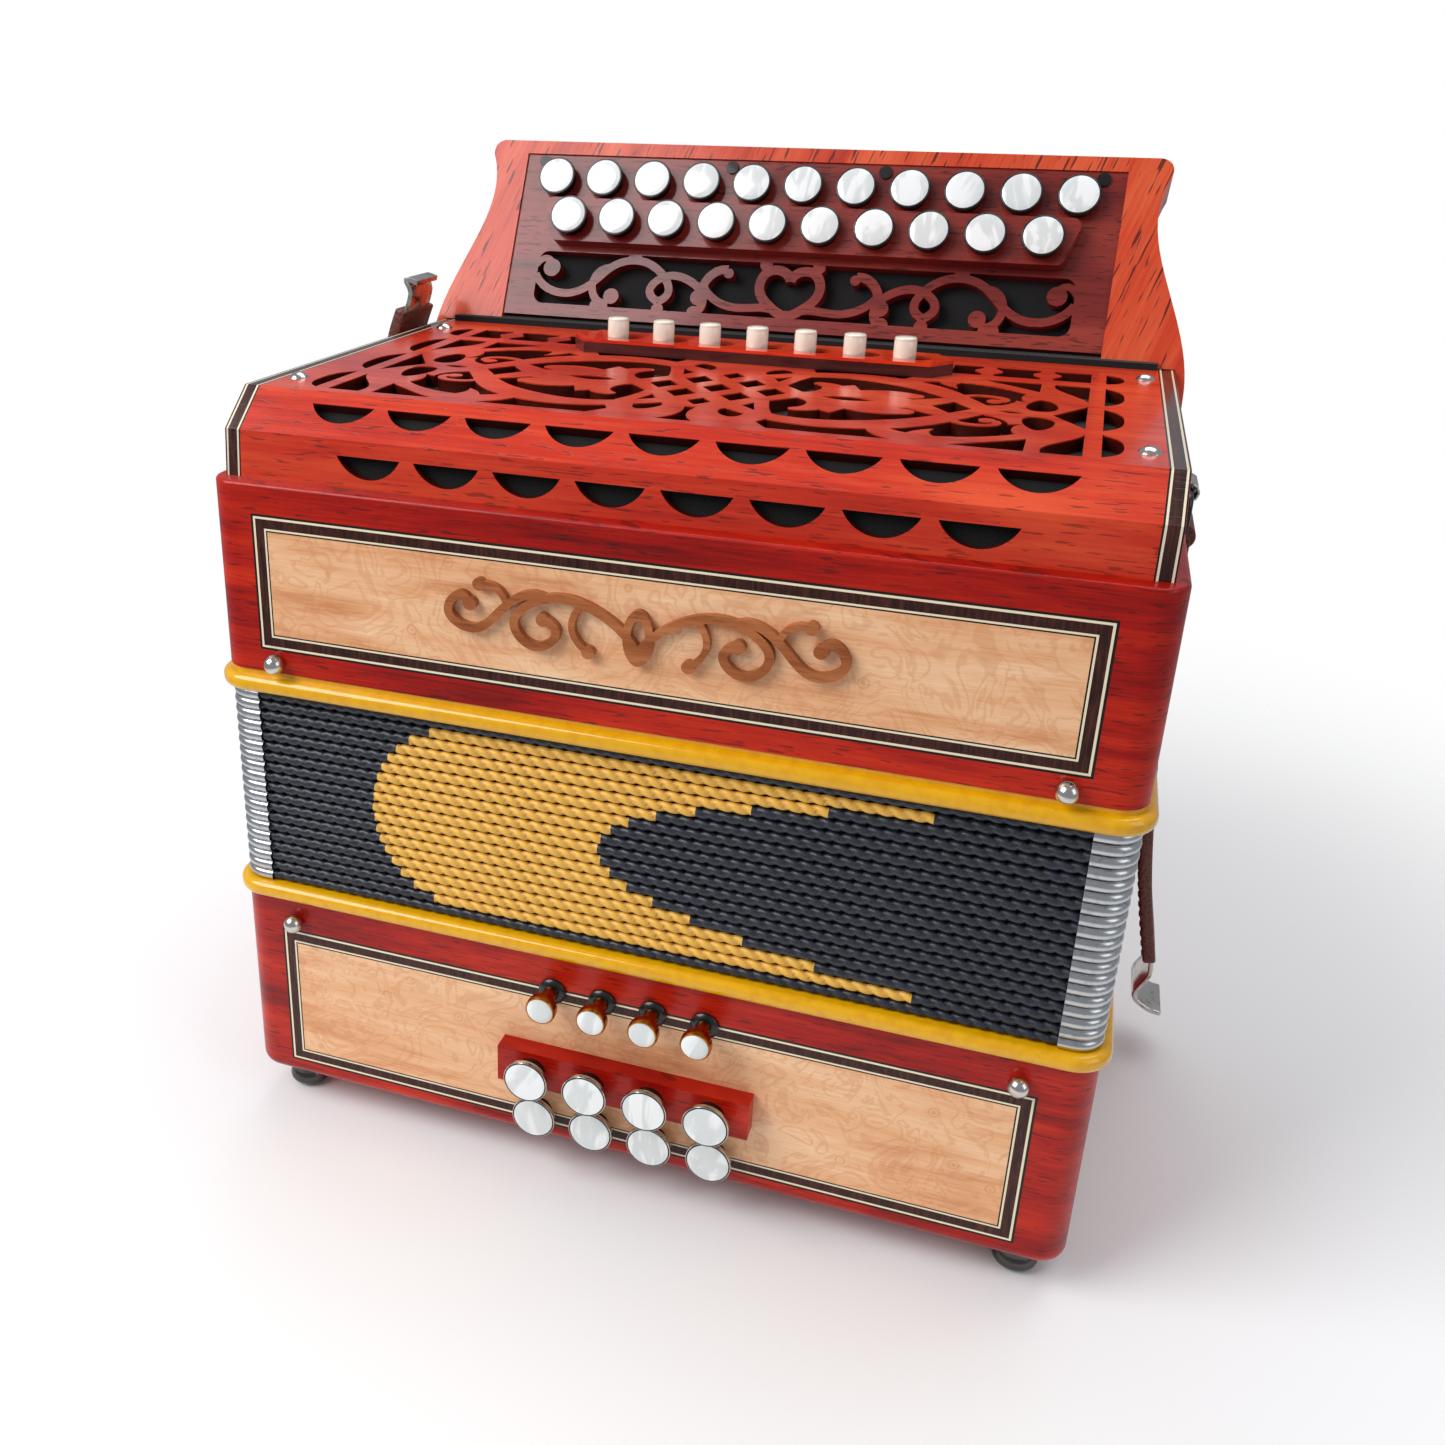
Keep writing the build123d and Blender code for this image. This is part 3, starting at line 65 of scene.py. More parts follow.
class Grain(Enum):
    """The way the wood's fibres run on a piece."""

    LENGTHWISE = "along the casing"
    UPRIGHT = "up the cheeks"
    WRAPPED = "round the casing's walls"
    DEPTHWISE = "from front to back"


def rgb(red: int, green: int, blue: int) -> Colour:
    """Turn a screen colour from 0 to 255 into Blender's linear colour.

    Args:
        red: red part of the colour.
        green: green part of the colour.
        blue: blue part of the colour.

    Returns:
        The linear colour with full alpha.
    """
    def linear(value: int) -> float:
        """One channel."""
        part = value / 255
        return part / 12.92 if part <= 0.04045 else ((part + 0.055) / 1.055) ** 2.4
    return (linear(red), linear(green), linear(blue), 1.0)


# ------------------------------------------------------------------ shaders
class Look(Protocol):
    """Any finish: it has a name, and builds its own material."""

    @property
    def name(self) -> str:
        """The material's name."""

    def material(self) -> bpy.types.Material:
        """Build the finish."""


class Graph:
    """A material under construction, with short names for the nodes it needs."""

    def __init__(self, name: str) -> None:
        """Start a material that holds only its output and a Principled shader."""
        self.material = bpy.data.materials.new(name)
        self.material.use_nodes = True
        self.tree = self.material.node_tree
        self.tree.nodes.clear()
        self.output = self.tree.nodes.new("ShaderNodeOutputMaterial")
        self.shader = self.tree.nodes.new("ShaderNodeBsdfPrincipled")
        self.tree.links.new(self.shader.outputs["BSDF"], self.output.inputs["Surface"])

    def put(self, socket: Socket, value: Value) -> None:
        """Link a socket to another one, or set its value."""
        if isinstance(value, bpy.types.NodeSocket):
            self.tree.links.new(value, socket)
        else:
            socket.default_value = value

    def fed(self, kind: str, values: Sequence[Value]) -> bpy.types.Node:
        """A new node whose inputs take the values in turn.

        Args:
            kind: the node's type.
            values: its inputs, as numbers or sockets.

        Returns:
            The node.
        """
        node = self.tree.nodes.new(kind)
        for socket, value in zip(node.inputs, values):
            self.put(socket, value)
        return node

    def math(self, operation: str, *values: Value) -> Socket:
        """The result of a Math node."""
        node = self.fed("ShaderNodeMath", values)
        node.operation = operation
        return node.outputs[0]

    def times(self, first: Value, second: Value) -> Socket:
        """The product of two numbers."""
        return self.math("MULTIPLY", first, second)

    def plus(self, first: Value, second: Value) -> Socket:
        """The sum of two numbers."""
        return self.math("ADD", first, second)

    def minus(self, first: Value, second: Value) -> Socket:
        """The first number less the second."""
        return self.math("SUBTRACT", first, second)

    def above(self, amount: Value, level: Value) -> Socket:
        """1 where a number is above a level, and 0 elsewhere."""
        return self.math("GREATER_THAN", amount, level)

    def sine(self, amount: Socket, rate: float) -> Socket:
        """The sine of a number times a rate."""
        return self.math("SINE", self.times(amount, rate))

    def vector(self, operation: str, *values: Value) -> Socket:
        """The vector that a Vector Math node gives."""
        node = self.fed("ShaderNodeVectorMath", values)
        node.operation = operation
        return node.outputs["Vector"]

    def place(self) -> Socket:
        """Object coordinates, which are the model's own frame in metres."""
        return self.tree.nodes.new("ShaderNodeTexCoord").outputs["Object"]

    def parts(self, vector: Socket) -> tuple[Socket, ...]:
        """The three numbers of a vector."""
        return tuple(self.fed("ShaderNodeSeparateXYZ", [vector]).outputs)

    def joined(self, x: Value, y: Value, z: Value) -> Socket:
        """A vector from three numbers."""
        return self.fed("ShaderNodeCombineXYZ", (x, y, z)).outputs[0]

    def noise(self, vector: Socket, scale: float, detail: float = 3.0,
              roughness: float = 0.5, distortion: float = 0.0) -> Socket:
        """The height of a Noise texture."""
        node = self.tree.nodes.new("ShaderNodeTexNoise")
        self.put(node.inputs["Vector"], vector)
        for key, value in (("Scale", scale), ("Detail", detail), ("Roughness", roughness),
                           ("Distortion", distortion)):
            node.inputs[key].default_value = value
        return node.outputs["Fac"]

    def spots(self, vector: Socket, scale: float) -> Socket:
        """The distance to the nearest point of a Voronoi texture."""
        node = self.tree.nodes.new("ShaderNodeTexVoronoi")
        self.put(node.inputs["Vector"], vector)
        node.inputs["Scale"].default_value = scale
        return node.outputs["Distance"]

    def ramp(self, amount: Socket, stops: Sequence[tuple[float, Colour]]) -> Socket:
        """A colour ramp.

        Args:
            amount: the number that picks the colour.
            stops: places from 0 to 1, each with its colour.

        Returns:
            The colour.
        """
        node = self.tree.nodes.new("ShaderNodeValToRGB")
        elements = node.color_ramp.elements
        while len(elements) < len(stops):
            elements.new(0.5)
        for element, (spot, colour) in zip(elements, stops):
            element.position = spot
            element.color = colour
        self.put(node.inputs["Fac"], amount)
        return node.outputs["Color"]

    def step(self, amount: Socket, low: float, high: float) -> Socket:
        """Rise smoothly from 0 at low to 1 at high."""
        node = self.tree.nodes.new("ShaderNodeMapRange")
        node.interpolation_type = "SMOOTHSTEP"
        self.put(node.inputs["Value"], amount)
        node.inputs["From Min"].default_value = low
        node.inputs["From Max"].default_value = high
        return node.outputs["Result"]

    def mix(self, amount: Value, first: Value, second: Value) -> Socket:
        """Mix two colours."""
        node = self.tree.nodes.new("ShaderNodeMix")
        node.data_type = "RGBA"
        self.put(node.inputs["Factor"], amount)
        self.put(node.inputs[6], first)
        self.put(node.inputs[7], second)
        return node.outputs[2]

    def attribute(self, name: str) -> Socket:
        """A number stored on the mesh."""
        node = self.tree.nodes.new("ShaderNodeAttribute")
        node.attribute_name = name
        return node.outputs["Fac"]

    def relief(self, height: Socket, strength: float, distance: float) -> None:
        """Feed a bump into the shader."""
        node = self.tree.nodes.new("ShaderNodeBump")
        node.inputs["Strength"].default_value = strength
        node.inputs["Distance"].default_value = distance
        self.put(node.inputs["Height"], height)
        self.put(self.shader.inputs["Normal"], node.outputs[0])

    def surface(self, **values: Value) -> bpy.types.Material:
        """Set the shader's sockets, whose names are given with underscores for spaces, and finish."""
        for name, value in values.items():
            self.put(self.shader.inputs[name.replace("_", " ")], value)
        return self.material


@dataclass(frozen=True)
class Wood:
    """A lacquered wood with streaks along its grain and short dark pores."""

    name: str
    dark: Colour
    mid: Colour
    light: Colour
    pore: Colour
    grain: Grain = Grain.LENGTHWISE
    streak: float = 14.0
    pores: float = 0.6
    gloss: float = 0.3
    coat: float = 0.5
    tilt: float = 0.0
    pore_scale: float = 135.0
    fine_share: float = 0.28
    relief: float = 0.22
    specular: float = 0.22

    def grain_space(self, graph: Graph) -> Socket:
        """Coordinates whose x runs along the fibres."""
        x, y, z = graph.parts(graph.place())
        if self.grain is Grain.UPRIGHT:
            across = graph.minus(x, graph.times(z, self.tilt))
            return graph.joined(z, across, graph.times(y, 0.06))
        if self.grain is Grain.WRAPPED:
            return graph.joined(graph.plus(x, y), z, graph.times(y, 0.12))
        if self.grain is Grain.DEPTHWISE:
            return graph.joined(y, x, z)
        return graph.joined(x, y, z)

    def tint(self, graph: Graph) -> tuple[Socket, Socket]:
        """The wood's colour, and the height of its pores.

        Args:
            graph: the material under construction.

        Returns:
            The colour and the height.
        """
        space = self.grain_space(graph)
        wide = graph.noise(graph.vector("MULTIPLY", space, (1.0, 7.0, 7.0)), self.streak, 5.0, 0.55, 0.6)
        fine = graph.noise(graph.vector("MULTIPLY", space, (1.0, 26.0, 26.0)), self.streak * 4, 3.0, 0.6)
        blend = graph.plus(graph.times(wide, 1 - self.fine_share), graph.times(fine, self.fine_share))
        base = graph.ramp(blend, [(0.3, self.dark), (0.46, self.mid), (0.66, self.light)])
        short = graph.noise(graph.vector("MULTIPLY", space, (1.0, 9.0, 9.0)), self.pore_scale, 1.0, 0.5)
        pit = graph.step(short, 0.62, 0.68)
        colour = graph.mix(graph.times(pit, self.pores), base, self.pore)
        height = graph.minus(graph.times(fine, 0.25), pit)
        return colour, height

    def material(self) -> bpy.types.Material:
        """Build the finish."""
        graph = Graph(self.name)
        colour, height = self.tint(graph)
        return self.lacquered(graph, colour, height)

    def lacquered(self, graph: Graph, colour: Socket, height: Socket) -> bpy.types.Material:
        """Put the wood's lacquer over a colour.

        Args:
            graph: the material under construction.
            colour: the colour under the lacquer.
            height: the height of the pores.

        Returns:
            The finished material.
        """
        graph.relief(height, self.relief, 0.4 * MM)
        return graph.surface(Base_Color=colour, Roughness=self.gloss, Coat_Weight=self.coat,
                             Coat_Roughness=0.12, Specular_IOR_Level=self.specular)


@dataclass(frozen=True)
class Inlay:
    """Figured maple inside white and dark stringing, with a rosewood band between them."""

    name: str
    maple: Wood
    band: Wood
    carving: Wood
    edges: tuple[float, ...] = (0.75, 1.45, 4.4, 5.0, 5.45)
    white: Colour = rgb(235, 222, 190)
    black: Colour = rgb(28, 16, 14)
    curl: float = 0.3
    eyes: float = 0.55
    proud: float = 0.05

    def material(self, casing: "Layout", mid: float, half: float, half_x: float) -> bpy.types.Material:
        """Build the finish.

        Args:
            casing: where the casing stands.
            mid: height of the inlay's middle.
            half: half its height.
            half_x: half its length.

        Returns:
            The material.
        """
        graph = Graph(self.name)
        x, y, z = graph.parts(graph.place())
        side = graph.minus(half_x, graph.math("ABSOLUTE", graph.minus(x, casing.middle)))
        level = graph.minus(half, graph.math("ABSOLUTE", graph.minus(z, mid)))
        inset = graph.times(graph.math("MINIMUM", side, level), MM_PER_METRE)
        field, height = self.maple.tint(graph)
        tiger = graph.noise(graph.place(), 55.0, 2.0, 0.5, 2.2)
        figure = graph.step(graph.sine(tiger, 34.0), 0.2, 1.0)
        field = graph.mix(graph.times(figure, self.curl), field, self.maple.dark)
        eye = graph.spots(graph.vector("ADD", graph.place(), (0.0, 0.0, 0.013)), 72.0)
        rings = graph.plus(graph.times(graph.sine(eye, 70.0), 0.5), 0.5)
        near = graph.times(graph.step(eye, 0.24, 0.06), rings)
        field = graph.mix(graph.times(near, self.eyes), field, self.maple.dark)
        rosewood, _ = self.band.tint(graph)
        colours = (self.black, self.white, rosewood, self.white, self.black, field)
        colour: Value = colours[0]
        for edge, following in zip(self.edges, colours[1:]):
            colour = graph.mix(graph.above(inset, edge), colour, following)
        carved, _ = self.carving.tint(graph)
        raised = graph.math("LESS_THAN", y, casing.front - self.proud * MM)
        colour = graph.mix(raised, colour, carved)
        graph.relief(height, 0.12, 0.3 * MM)
        return graph.surface(Base_Color=colour, Roughness=0.34, Coat_Weight=0.15,
                             Coat_Roughness=0.15, Specular_IOR_Level=0.22)


@dataclass(frozen=True)
class Metal:
    """A polished or brushed metal with faint wear."""

    name: str
    colour: Colour
    dull: Colour
    roughness: float = 0.16

    def material(self) -> bpy.types.Material:
        """Build the finish."""
        graph = Graph(self.name)
        wear = graph.noise(graph.place(), 420.0, 4.0, 0.65)
        colour = graph.mix(graph.step(wear, 0.5, 0.72), self.colour, self.dull)
        rough = graph.plus(graph.times(wear, 0.06), self.roughness)
        graph.relief(wear, 0.02, 0.2 * MM)
        return graph.surface(Base_Color=colour, Metallic=1.0, Roughness=rough)


@dataclass(frozen=True)
class Pearl:
    """Mother-of-pearl celluloid: drifting bands of white and grey under gloss."""

    name: str
    light: Colour
    shade: Colour
    scale: float = 60.0
    contrast: float = 0.5

    def material(self) -> bpy.types.Material:
        """Build the finish."""
        graph = Graph(self.name)
        drift = graph.vector("MULTIPLY", graph.place(), (1.0, 0.45, 0.45))
        bands = graph.noise(drift, self.scale, 3.0, 0.55, 3.5)
        wave = graph.sine(bands, 17.0)
        amount = graph.times(graph.step(wave, -0.2, 1.0), self.contrast)
        colour = graph.mix(amount, self.light, self.shade)
        return graph.surface(Base_Color=colour, Roughness=0.16, Coat_Weight=0.8,
                             Coat_Roughness=0.05, Sheen_Weight=0.1)


@dataclass(frozen=True)
class Cloth:
    """A woven or felted fabric."""

    name: str
    colour: Colour
    thread: Colour
    pitch: float = 900.0
    fuzz: float = 0.6

    def material(self) -> bpy.types.Material:
        """Build the finish."""
        graph = Graph(self.name)
        x, y, z = graph.parts(graph.place())
        warp = graph.sine(x, self.pitch * math.tau)
        weft = graph.sine(graph.plus(y, z), self.pitch * math.tau)
        weave = graph.times(warp, weft)
        nap = graph.noise(graph.place(), 2400.0, 2.0, 0.6)
        height = graph.plus(graph.times(weave, 0.5), nap)
        colour = graph.mix(graph.step(height, 0.2, 1.1), self.colour, self.thread)
        graph.relief(height, 0.5, 0.4 * MM)
        return graph.surface(Base_Color=colour, Roughness=0.9, Sheen_Weight=self.fuzz,
                             Sheen_Roughness=0.5)


@dataclass(frozen=True)
class Tape:
    """Coated bellows tape in two colours, picked by a number on the mesh, with painted shade in the troughs
    between its bumps.
    """

    name: str
    ground: Colour
    ground_edge: Colour
    figure: Colour
    # darker yellow: painted shade towards the troughs between bumps, and random wear
    figure_shade_and_wear: Colour
    # painted shade: the near-black colour that fills the troughs between the tape's bumps
    valley: Colour = rgb(8, 9, 12)

    def material(self) -> bpy.types.Material:
        """Build the finish."""
        graph = Graph(self.name)
        grain = graph.noise(graph.place(), 1300.0, 3.0, 0.6)
        crest = graph.attribute("crest")
        worn = graph.times(graph.step(grain, 0.35, 0.75), 0.7)
        ground = graph.mix(worn, self.ground, self.ground_edge)
        # painted shade: where crest is low, in the troughs, the ground darkens to the valley colour
        ground = graph.mix(graph.step(crest, 0.75, 0.2), ground, self.valley)
        # painted shade: the yellow darkens towards the troughs, where crest is low; the next line adds random
        # wear
        figure = graph.mix(graph.times(graph.minus(1.0, crest), 0.85), self.figure, self.figure_shade_and_wear)
        figure = graph.mix(graph.times(worn, 0.25), figure, self.figure_shade_and_wear)
        colour = graph.mix(graph.above(graph.attribute("gold"), 0.5), ground, figure)
        graph.relief(grain, 0.35, 0.3 * MM)
        return graph.surface(Base_Color=colour, Roughness=0.42, Coat_Weight=0.15, Coat_Roughness=0.3)


@dataclass(frozen=True)
class Leather:
    """Grained leather, darker in its creases."""

    name: str
    colour: Colour
    crease: Colour

    def material(self) -> bpy.types.Material:
        """Build the finish."""
        graph = Graph(self.name)
        pebble = graph.spots(graph.place(), 900.0)
        mottle = graph.noise(graph.place(), 90.0, 4.0, 0.6)
        colour = graph.mix(graph.step(pebble, 0.15, 0.6), self.crease, self.colour)
        colour = graph.mix(graph.times(mottle, 0.5), colour, self.crease)
        graph.relief(pebble, 0.5, 0.4 * MM)
        return graph.surface(Base_Color=colour, Roughness=0.5, Coat_Weight=0.1)


@dataclass(frozen=True)
class Gloss:
    """A plain glossy or satin moulding with a trace of orange peel."""

    name: str
    colour: Colour
    shade: Colour
    roughness: float = 0.25
    coat: float = 0.5

    def material(self) -> bpy.types.Material:
        """Build the finish."""
        graph = Graph(self.name)
        peel = graph.noise(graph.place(), 260.0, 3.0, 0.5)
        colour = graph.mix(graph.step(peel, 0.4, 0.7), self.colour, self.shade)
        graph.relief(peel, 0.06, 0.3 * MM)
        return graph.surface(Base_Color=colour, Roughness=self.roughness, Coat_Weight=self.coat,
                             Coat_Roughness=0.06, Specular_IOR_Level=0.3)


PORE = rgb(52, 8, 6)
CASING_WOOD = Wood("casing_padauk", rgb(96, 2, 1), rgb(160, 14, 4), rgb(202, 44, 10), PORE, Grain.WRAPPED,
                   streak=11.0, pores=0.55, gloss=0.34, coat=0.14)
COVER_WOOD = Wood("cover_padauk", rgb(146, 18, 8), rgb(192, 44, 20), rgb(220, 80, 42), PORE,
                  streak=7.0, pores=0.5, gloss=0.3, coat=0.4)
CHEEK_WOOD = Wood("cheek_padauk", rgb(160, 34, 16), rgb(198, 62, 30), rgb(218, 96, 56), PORE, Grain.UPRIGHT,
                  streak=9.0, pores=0.8, gloss=0.34, coat=0.3, tilt=0.35, pore_scale=85.0)
PLATE_WOOD = Wood("plate_wood", rgb(84, 16, 14), rgb(120, 34, 28), rgb(150, 56, 44), PORE,
                  streak=7.0, pores=0.7, gloss=0.34, coat=0.4)
BAR_WOOD = Wood("register_bar_wood", rgb(190, 30, 4), rgb(222, 52, 10), rgb(238, 84, 26), PORE,
                streak=8.0, pores=0.4, gloss=0.26, coat=0.7)
DARK_WOOD = Wood("dark_wood", rgb(40, 8, 6), rgb(62, 14, 10), rgb(86, 24, 16), PORE, streak=9.0, pores=0.4)
MAPLE = Wood("maple", rgb(206, 134, 86), rgb(234, 176, 130), rgb(246, 204, 162), rgb(176, 108, 66),
             streak=16.0, pores=0.12)
BAND_WOOD = Wood("rosewood", rgb(24, 9, 7), rgb(50, 22, 17), rgb(84, 42, 32), rgb(12, 5, 5), Grain.UPRIGHT,
                 streak=110.0, pores=0.5)
CARVING_WOOD = Wood("carving_wood", rgb(122, 62, 30), rgb(160, 90, 48), rgb(186, 116, 70), rgb(70, 30, 12),
                    streak=20.0, pores=0.3)
SPRUCE = Wood("spruce", rgb(188, 148, 92), rgb(212, 176, 120), rgb(226, 196, 144), rgb(150, 104, 58),
              Grain.DEPTHWISE, streak=12.0, pores=0.1, gloss=0.6, coat=0.0)
NICKEL = Metal("nickel", rgb(206, 202, 196), rgb(140, 136, 130))
CAP_METAL = Metal("corner_cap_metal", rgb(196, 198, 200), rgb(172, 174, 178), 0.22)
DARK_METAL = Metal("foot_metal", rgb(86, 84, 82), rgb(58, 56, 54), 0.2)
GILT = Gloss("gilt_strip", rgb(232, 172, 6), rgb(224, 160, 4), 0.16, 0.6)
BRASS = Metal("lacquered_brass", rgb(176, 112, 48), rgb(96, 52, 22), 0.2)
PEARL = Pearl("button_pearl", rgb(242, 245, 244), rgb(186, 194, 192), 26.0, 0.5)
PEG_PEARL = Pearl("peg_pearl", rgb(240, 234, 216), rgb(212, 204, 180), 30.0, 0.25)
BLACK = Gloss("black_lacquer", rgb(24, 22, 22), rgb(14, 12, 12), 0.3, 0.4)
BLACK_CLOTH = Cloth("black_cloth", rgb(5, 5, 6), rgb(17, 17, 19), 900.0, 0.06)
CARD = Cloth("bellows_cloth", rgb(14, 14, 18), rgb(30, 30, 36), 500.0, 0.2)
STRAP_LEATHER = Leather("strap_leather", rgb(112, 52, 34), rgb(58, 24, 16))
THREAD = Gloss("thread", rgb(70, 34, 22), rgb(48, 22, 14), 0.6, 0.0)
TAPE = Tape("bellows_tape", rgb(24, 28, 38), rgb(50, 56, 72), rgb(244, 190, 78), rgb(176, 116, 34))
_made: dict[str, bpy.types.Material] = {}


def finish(look: Look) -> bpy.types.Material:
    """The material of a finish, built once."""
    if look.name not in _made:
        _made[look.name] = look.material()
    return _made[look.name]


@dataclass(frozen=True)
class BandedCover:
    """The cover's wood, with an inlaid band across it near each end, and painted shade on the walls of its
    openings.
    """

    name: str
    wood: Wood
    band: Wood
    middle: float
    edges: tuple[float, ...] = (132.2, 132.7, 133.3, 136.4, 137.0, 137.44)
    white: Colour = rgb(226, 214, 188)
    black: Colour = rgb(20, 12, 12)
    # painted shade: the dark colour given to the walls of the cover's openings
    opening_shade: Colour = rgb(26, 7, 5)
    front: float = 0.0
    foot: float = 0.0
    corners: Profile = ((6.2, 0.0), (7.5, 14.3), (20.5, 25.5), (168.0, 25.5))
    skin: float = 0.35
    # painted shade: how far the openings' walls are darkened
    opening_shade_share: float = 0.92

    def cut(self, graph: Graph) -> Socket:
        """1 on the walls of the openings, which lie behind the cover's outer faces; these walls get painted
        shade.
        """
        _, y, z = graph.parts(graph.place())
        deep = graph.times(graph.minus(y, self.front), MM_PER_METRE)
        high = graph.times(graph.minus(z, self.foot), MM_PER_METRE)
        depth = None
        for (y0, z0), (y1, z1) in zip(self.corners, self.corners[1:]):
            length = math.hypot(y1 - y0, z1 - z0)
            along = graph.times(graph.minus(deep, y0), (z1 - z0) / length)
            across = graph.times(graph.minus(high, z0), (y1 - y0) / length)
            inside = graph.minus(along, across)
            depth = inside if depth is None else graph.math("MINIMUM", depth, inside)
        return graph.above(depth, self.skin)

    def material(self) -> bpy.types.Material:
        """Build the finish."""
        graph = Graph(self.name)
        x, _, _ = graph.parts(graph.place())
        out = graph.times(graph.math("ABSOLUTE", graph.minus(x, self.middle)), MM_PER_METRE)
        plain, height = self.wood.tint(graph)
        # painted shade: the openings' walls are darkened nearly to black-red
        colour = graph.mix(graph.times(self.cut(graph), self.opening_shade_share), plain, self.opening_shade)
        rosewood, _ = self.band.tint(graph)
        strips = (self.black, self.white, rosewood, self.white, self.black, plain)
        for edge, following in zip(self.edges, strips):
            colour = graph.mix(graph.above(out, edge), colour, following)
        return self.wood.lacquered(graph, colour, height)


@dataclass(frozen=True)
class Coating:
    """One half of a two-part finish."""

    colour: Union[Colour, Wood]
    metallic: float
    roughness: float
    coat: float


@dataclass(frozen=True)
class TwoPart:
    """One finish below a height, and another above it."""

    name: str
    level: float
    below: Coating
    above: Coating

    def material(self) -> bpy.types.Material:
        """Build the finish."""
        graph = Graph(self.name)
        _, _, z = graph.parts(graph.place())
        side = graph.above(z, self.level)
        blend = graph.tree.nodes.new("ShaderNodeMixShader")
        graph.put(blend.inputs[0], side)
        shaders = []
        for half in (self.below, self.above):
            shader = graph.tree.nodes.new("ShaderNodeBsdfPrincipled")
            tint = half.colour.tint(graph)[0] if isinstance(half.colour, Wood) else half.colour
            for key, value in (("Base Color", tint), ("Metallic", half.metallic),
                               ("Roughness", half.roughness), ("Coat Weight", half.coat)):
                graph.put(shader.inputs[key], value)
            shaders.append(shader)
        graph.put(blend.inputs[1], shaders[0].outputs[0])
        graph.put(blend.inputs[2], shaders[1].outputs[0])
        graph.tree.nodes.remove(graph.shader)
        graph.put(graph.output.inputs["Surface"], blend.outputs[0])
        return graph.material


PLATED = Coating(NICKEL.colour, 1.0, 0.18, 0.0)
FOOT_STEEL = Coating(DARK_METAL.colour, 1.0, 0.2, 0.0)
BLACKED = Coating(rgb(30, 26, 26), 0.6, 0.35, 0.2)
BAR_EDGE = Coating(DARK_WOOD, 0.0, 0.35, 0.5)
BAR_TOP = Coating(BAR_WOOD, 0.0, 0.26, 0.7)


# ------------------------------------------------------------------ the workshop
def nothing_selected() -> None:
    """Leave edit mode and deselect everything."""
    if bpy.context.object and bpy.context.object.mode != "OBJECT":
        bpy.ops.object.mode_set(mode="OBJECT")
    bpy.ops.object.select_all(action="DESELECT")


def chosen(piece: bpy.types.Object) -> None:
    """Select one piece and make it active."""
    nothing_selected()
    piece.select_set(True)
    bpy.context.view_layer.objects.active = piece


def smoothed(piece: bpy.types.Object, degrees: float = 35.0) -> bpy.types.Object:
    """Shade a piece smooth, apart from its sharp edges."""
    chosen(piece)
    bpy.ops.object.shade_smooth_by_angle(angle=math.radians(degrees))
    nothing_selected()
    return piece


def faces_out() -> None:
    """Turn every face outward, and leave edit mode."""
    bpy.ops.mesh.select_all(action="SELECT")
    bpy.ops.mesh.normals_make_consistent(inside=False)
    bpy.ops.object.mode_set(mode="OBJECT")


def editing() -> None:
    """Enter edit mode with everything selected."""
    bpy.ops.object.mode_set(mode="EDIT")
    bpy.ops.mesh.select_all(action="SELECT")


def welded(parts: Sequence[bpy.types.Object], name: str) -> bpy.types.Object:
    """Join pieces into the first of them, and name the result."""
    nothing_selected()
    for part in parts:
        part.select_set(True)
    bpy.context.view_layer.objects.active = parts[0]
    bpy.ops.object.join()
    parts[0].name = name
    return parts[0]


def turned(name: str, profile: Profile, sides: int = 40) -> bpy.types.Object:
    """Turn a closed piece on the lathe, standing along +Z.

    Args:
        name: the piece's name.
        profile: radius and height of each ring, in millimetres, from the foot up.
        sides: how many sides stand for the round.

    Returns:
        The new object.
    """
    nothing_selected()
    radius, height = profile[0]
    bpy.ops.mesh.primitive_circle_add(vertices=sides, radius=radius * MM, fill_type="NGON",
                                      location=(0, 0, height * MM))
    piece = bpy.context.object
    piece.name = name
    bpy.ops.object.transform_apply(location=True, rotation=True, scale=True)
    editing()
    for (r0, z0), (r1, z1) in zip(profile, profile[1:]):
        bpy.ops.mesh.extrude_region_move(TRANSFORM_OT_translate={"value": (0, 0, (z1 - z0) * MM)})
        bpy.ops.transform.resize(value=(r1 / r0, r1 / r0, 1.0))
    faces_out()
    return smoothed(piece)


def block(name: str, low: Point, high: Point, bevel: float = 0.4) -> bpy.types.Object:
    """A block with rounded edges between two corners, in metres.

    Args:
        name: the piece's name.
        low: its lowest corner.
        high: its highest corner.
        bevel: width of the rounding in millimetres.

    Returns:
        The new object.
    """
    nothing_selected()
    middle = [(a + b) / 2 for a, b in zip(low, high)]
    bpy.ops.mesh.primitive_cube_add(size=1.0, location=middle)
    piece = bpy.context.object
    piece.name = name
    piece.scale = [b - a for a, b in zip(low, high)]
    bpy.ops.object.transform_apply(location=True, rotation=True, scale=True)
    editing()
    bpy.ops.mesh.bevel(offset=bevel * MM, segments=2, affect="EDGES")
    bpy.ops.object.mode_set(mode="OBJECT")
    return smoothed(piece)


def copied(model: bpy.types.Object, name: str, place: Matrix) -> bpy.types.Object:
    """Copy a piece with its own mesh, and put the copy's place in that mesh."""
    twin = model.copy()
    twin.data = model.data.copy()
    twin.name = name
    bpy.context.scene.collection.objects.link(twin)
    twin.data.transform(place)
    return twin


def scrapped(*models: bpy.types.Object) -> None:
    """Throw away the models that copies were made from."""
    for model in models:
        bpy.data.objects.remove(model)


def dressed(piece: bpy.types.Object, look: Look) -> bpy.types.Object:
    """Give a piece its finish."""
    piece.data.materials.clear()
    piece.data.materials.append(finish(look))
    return piece


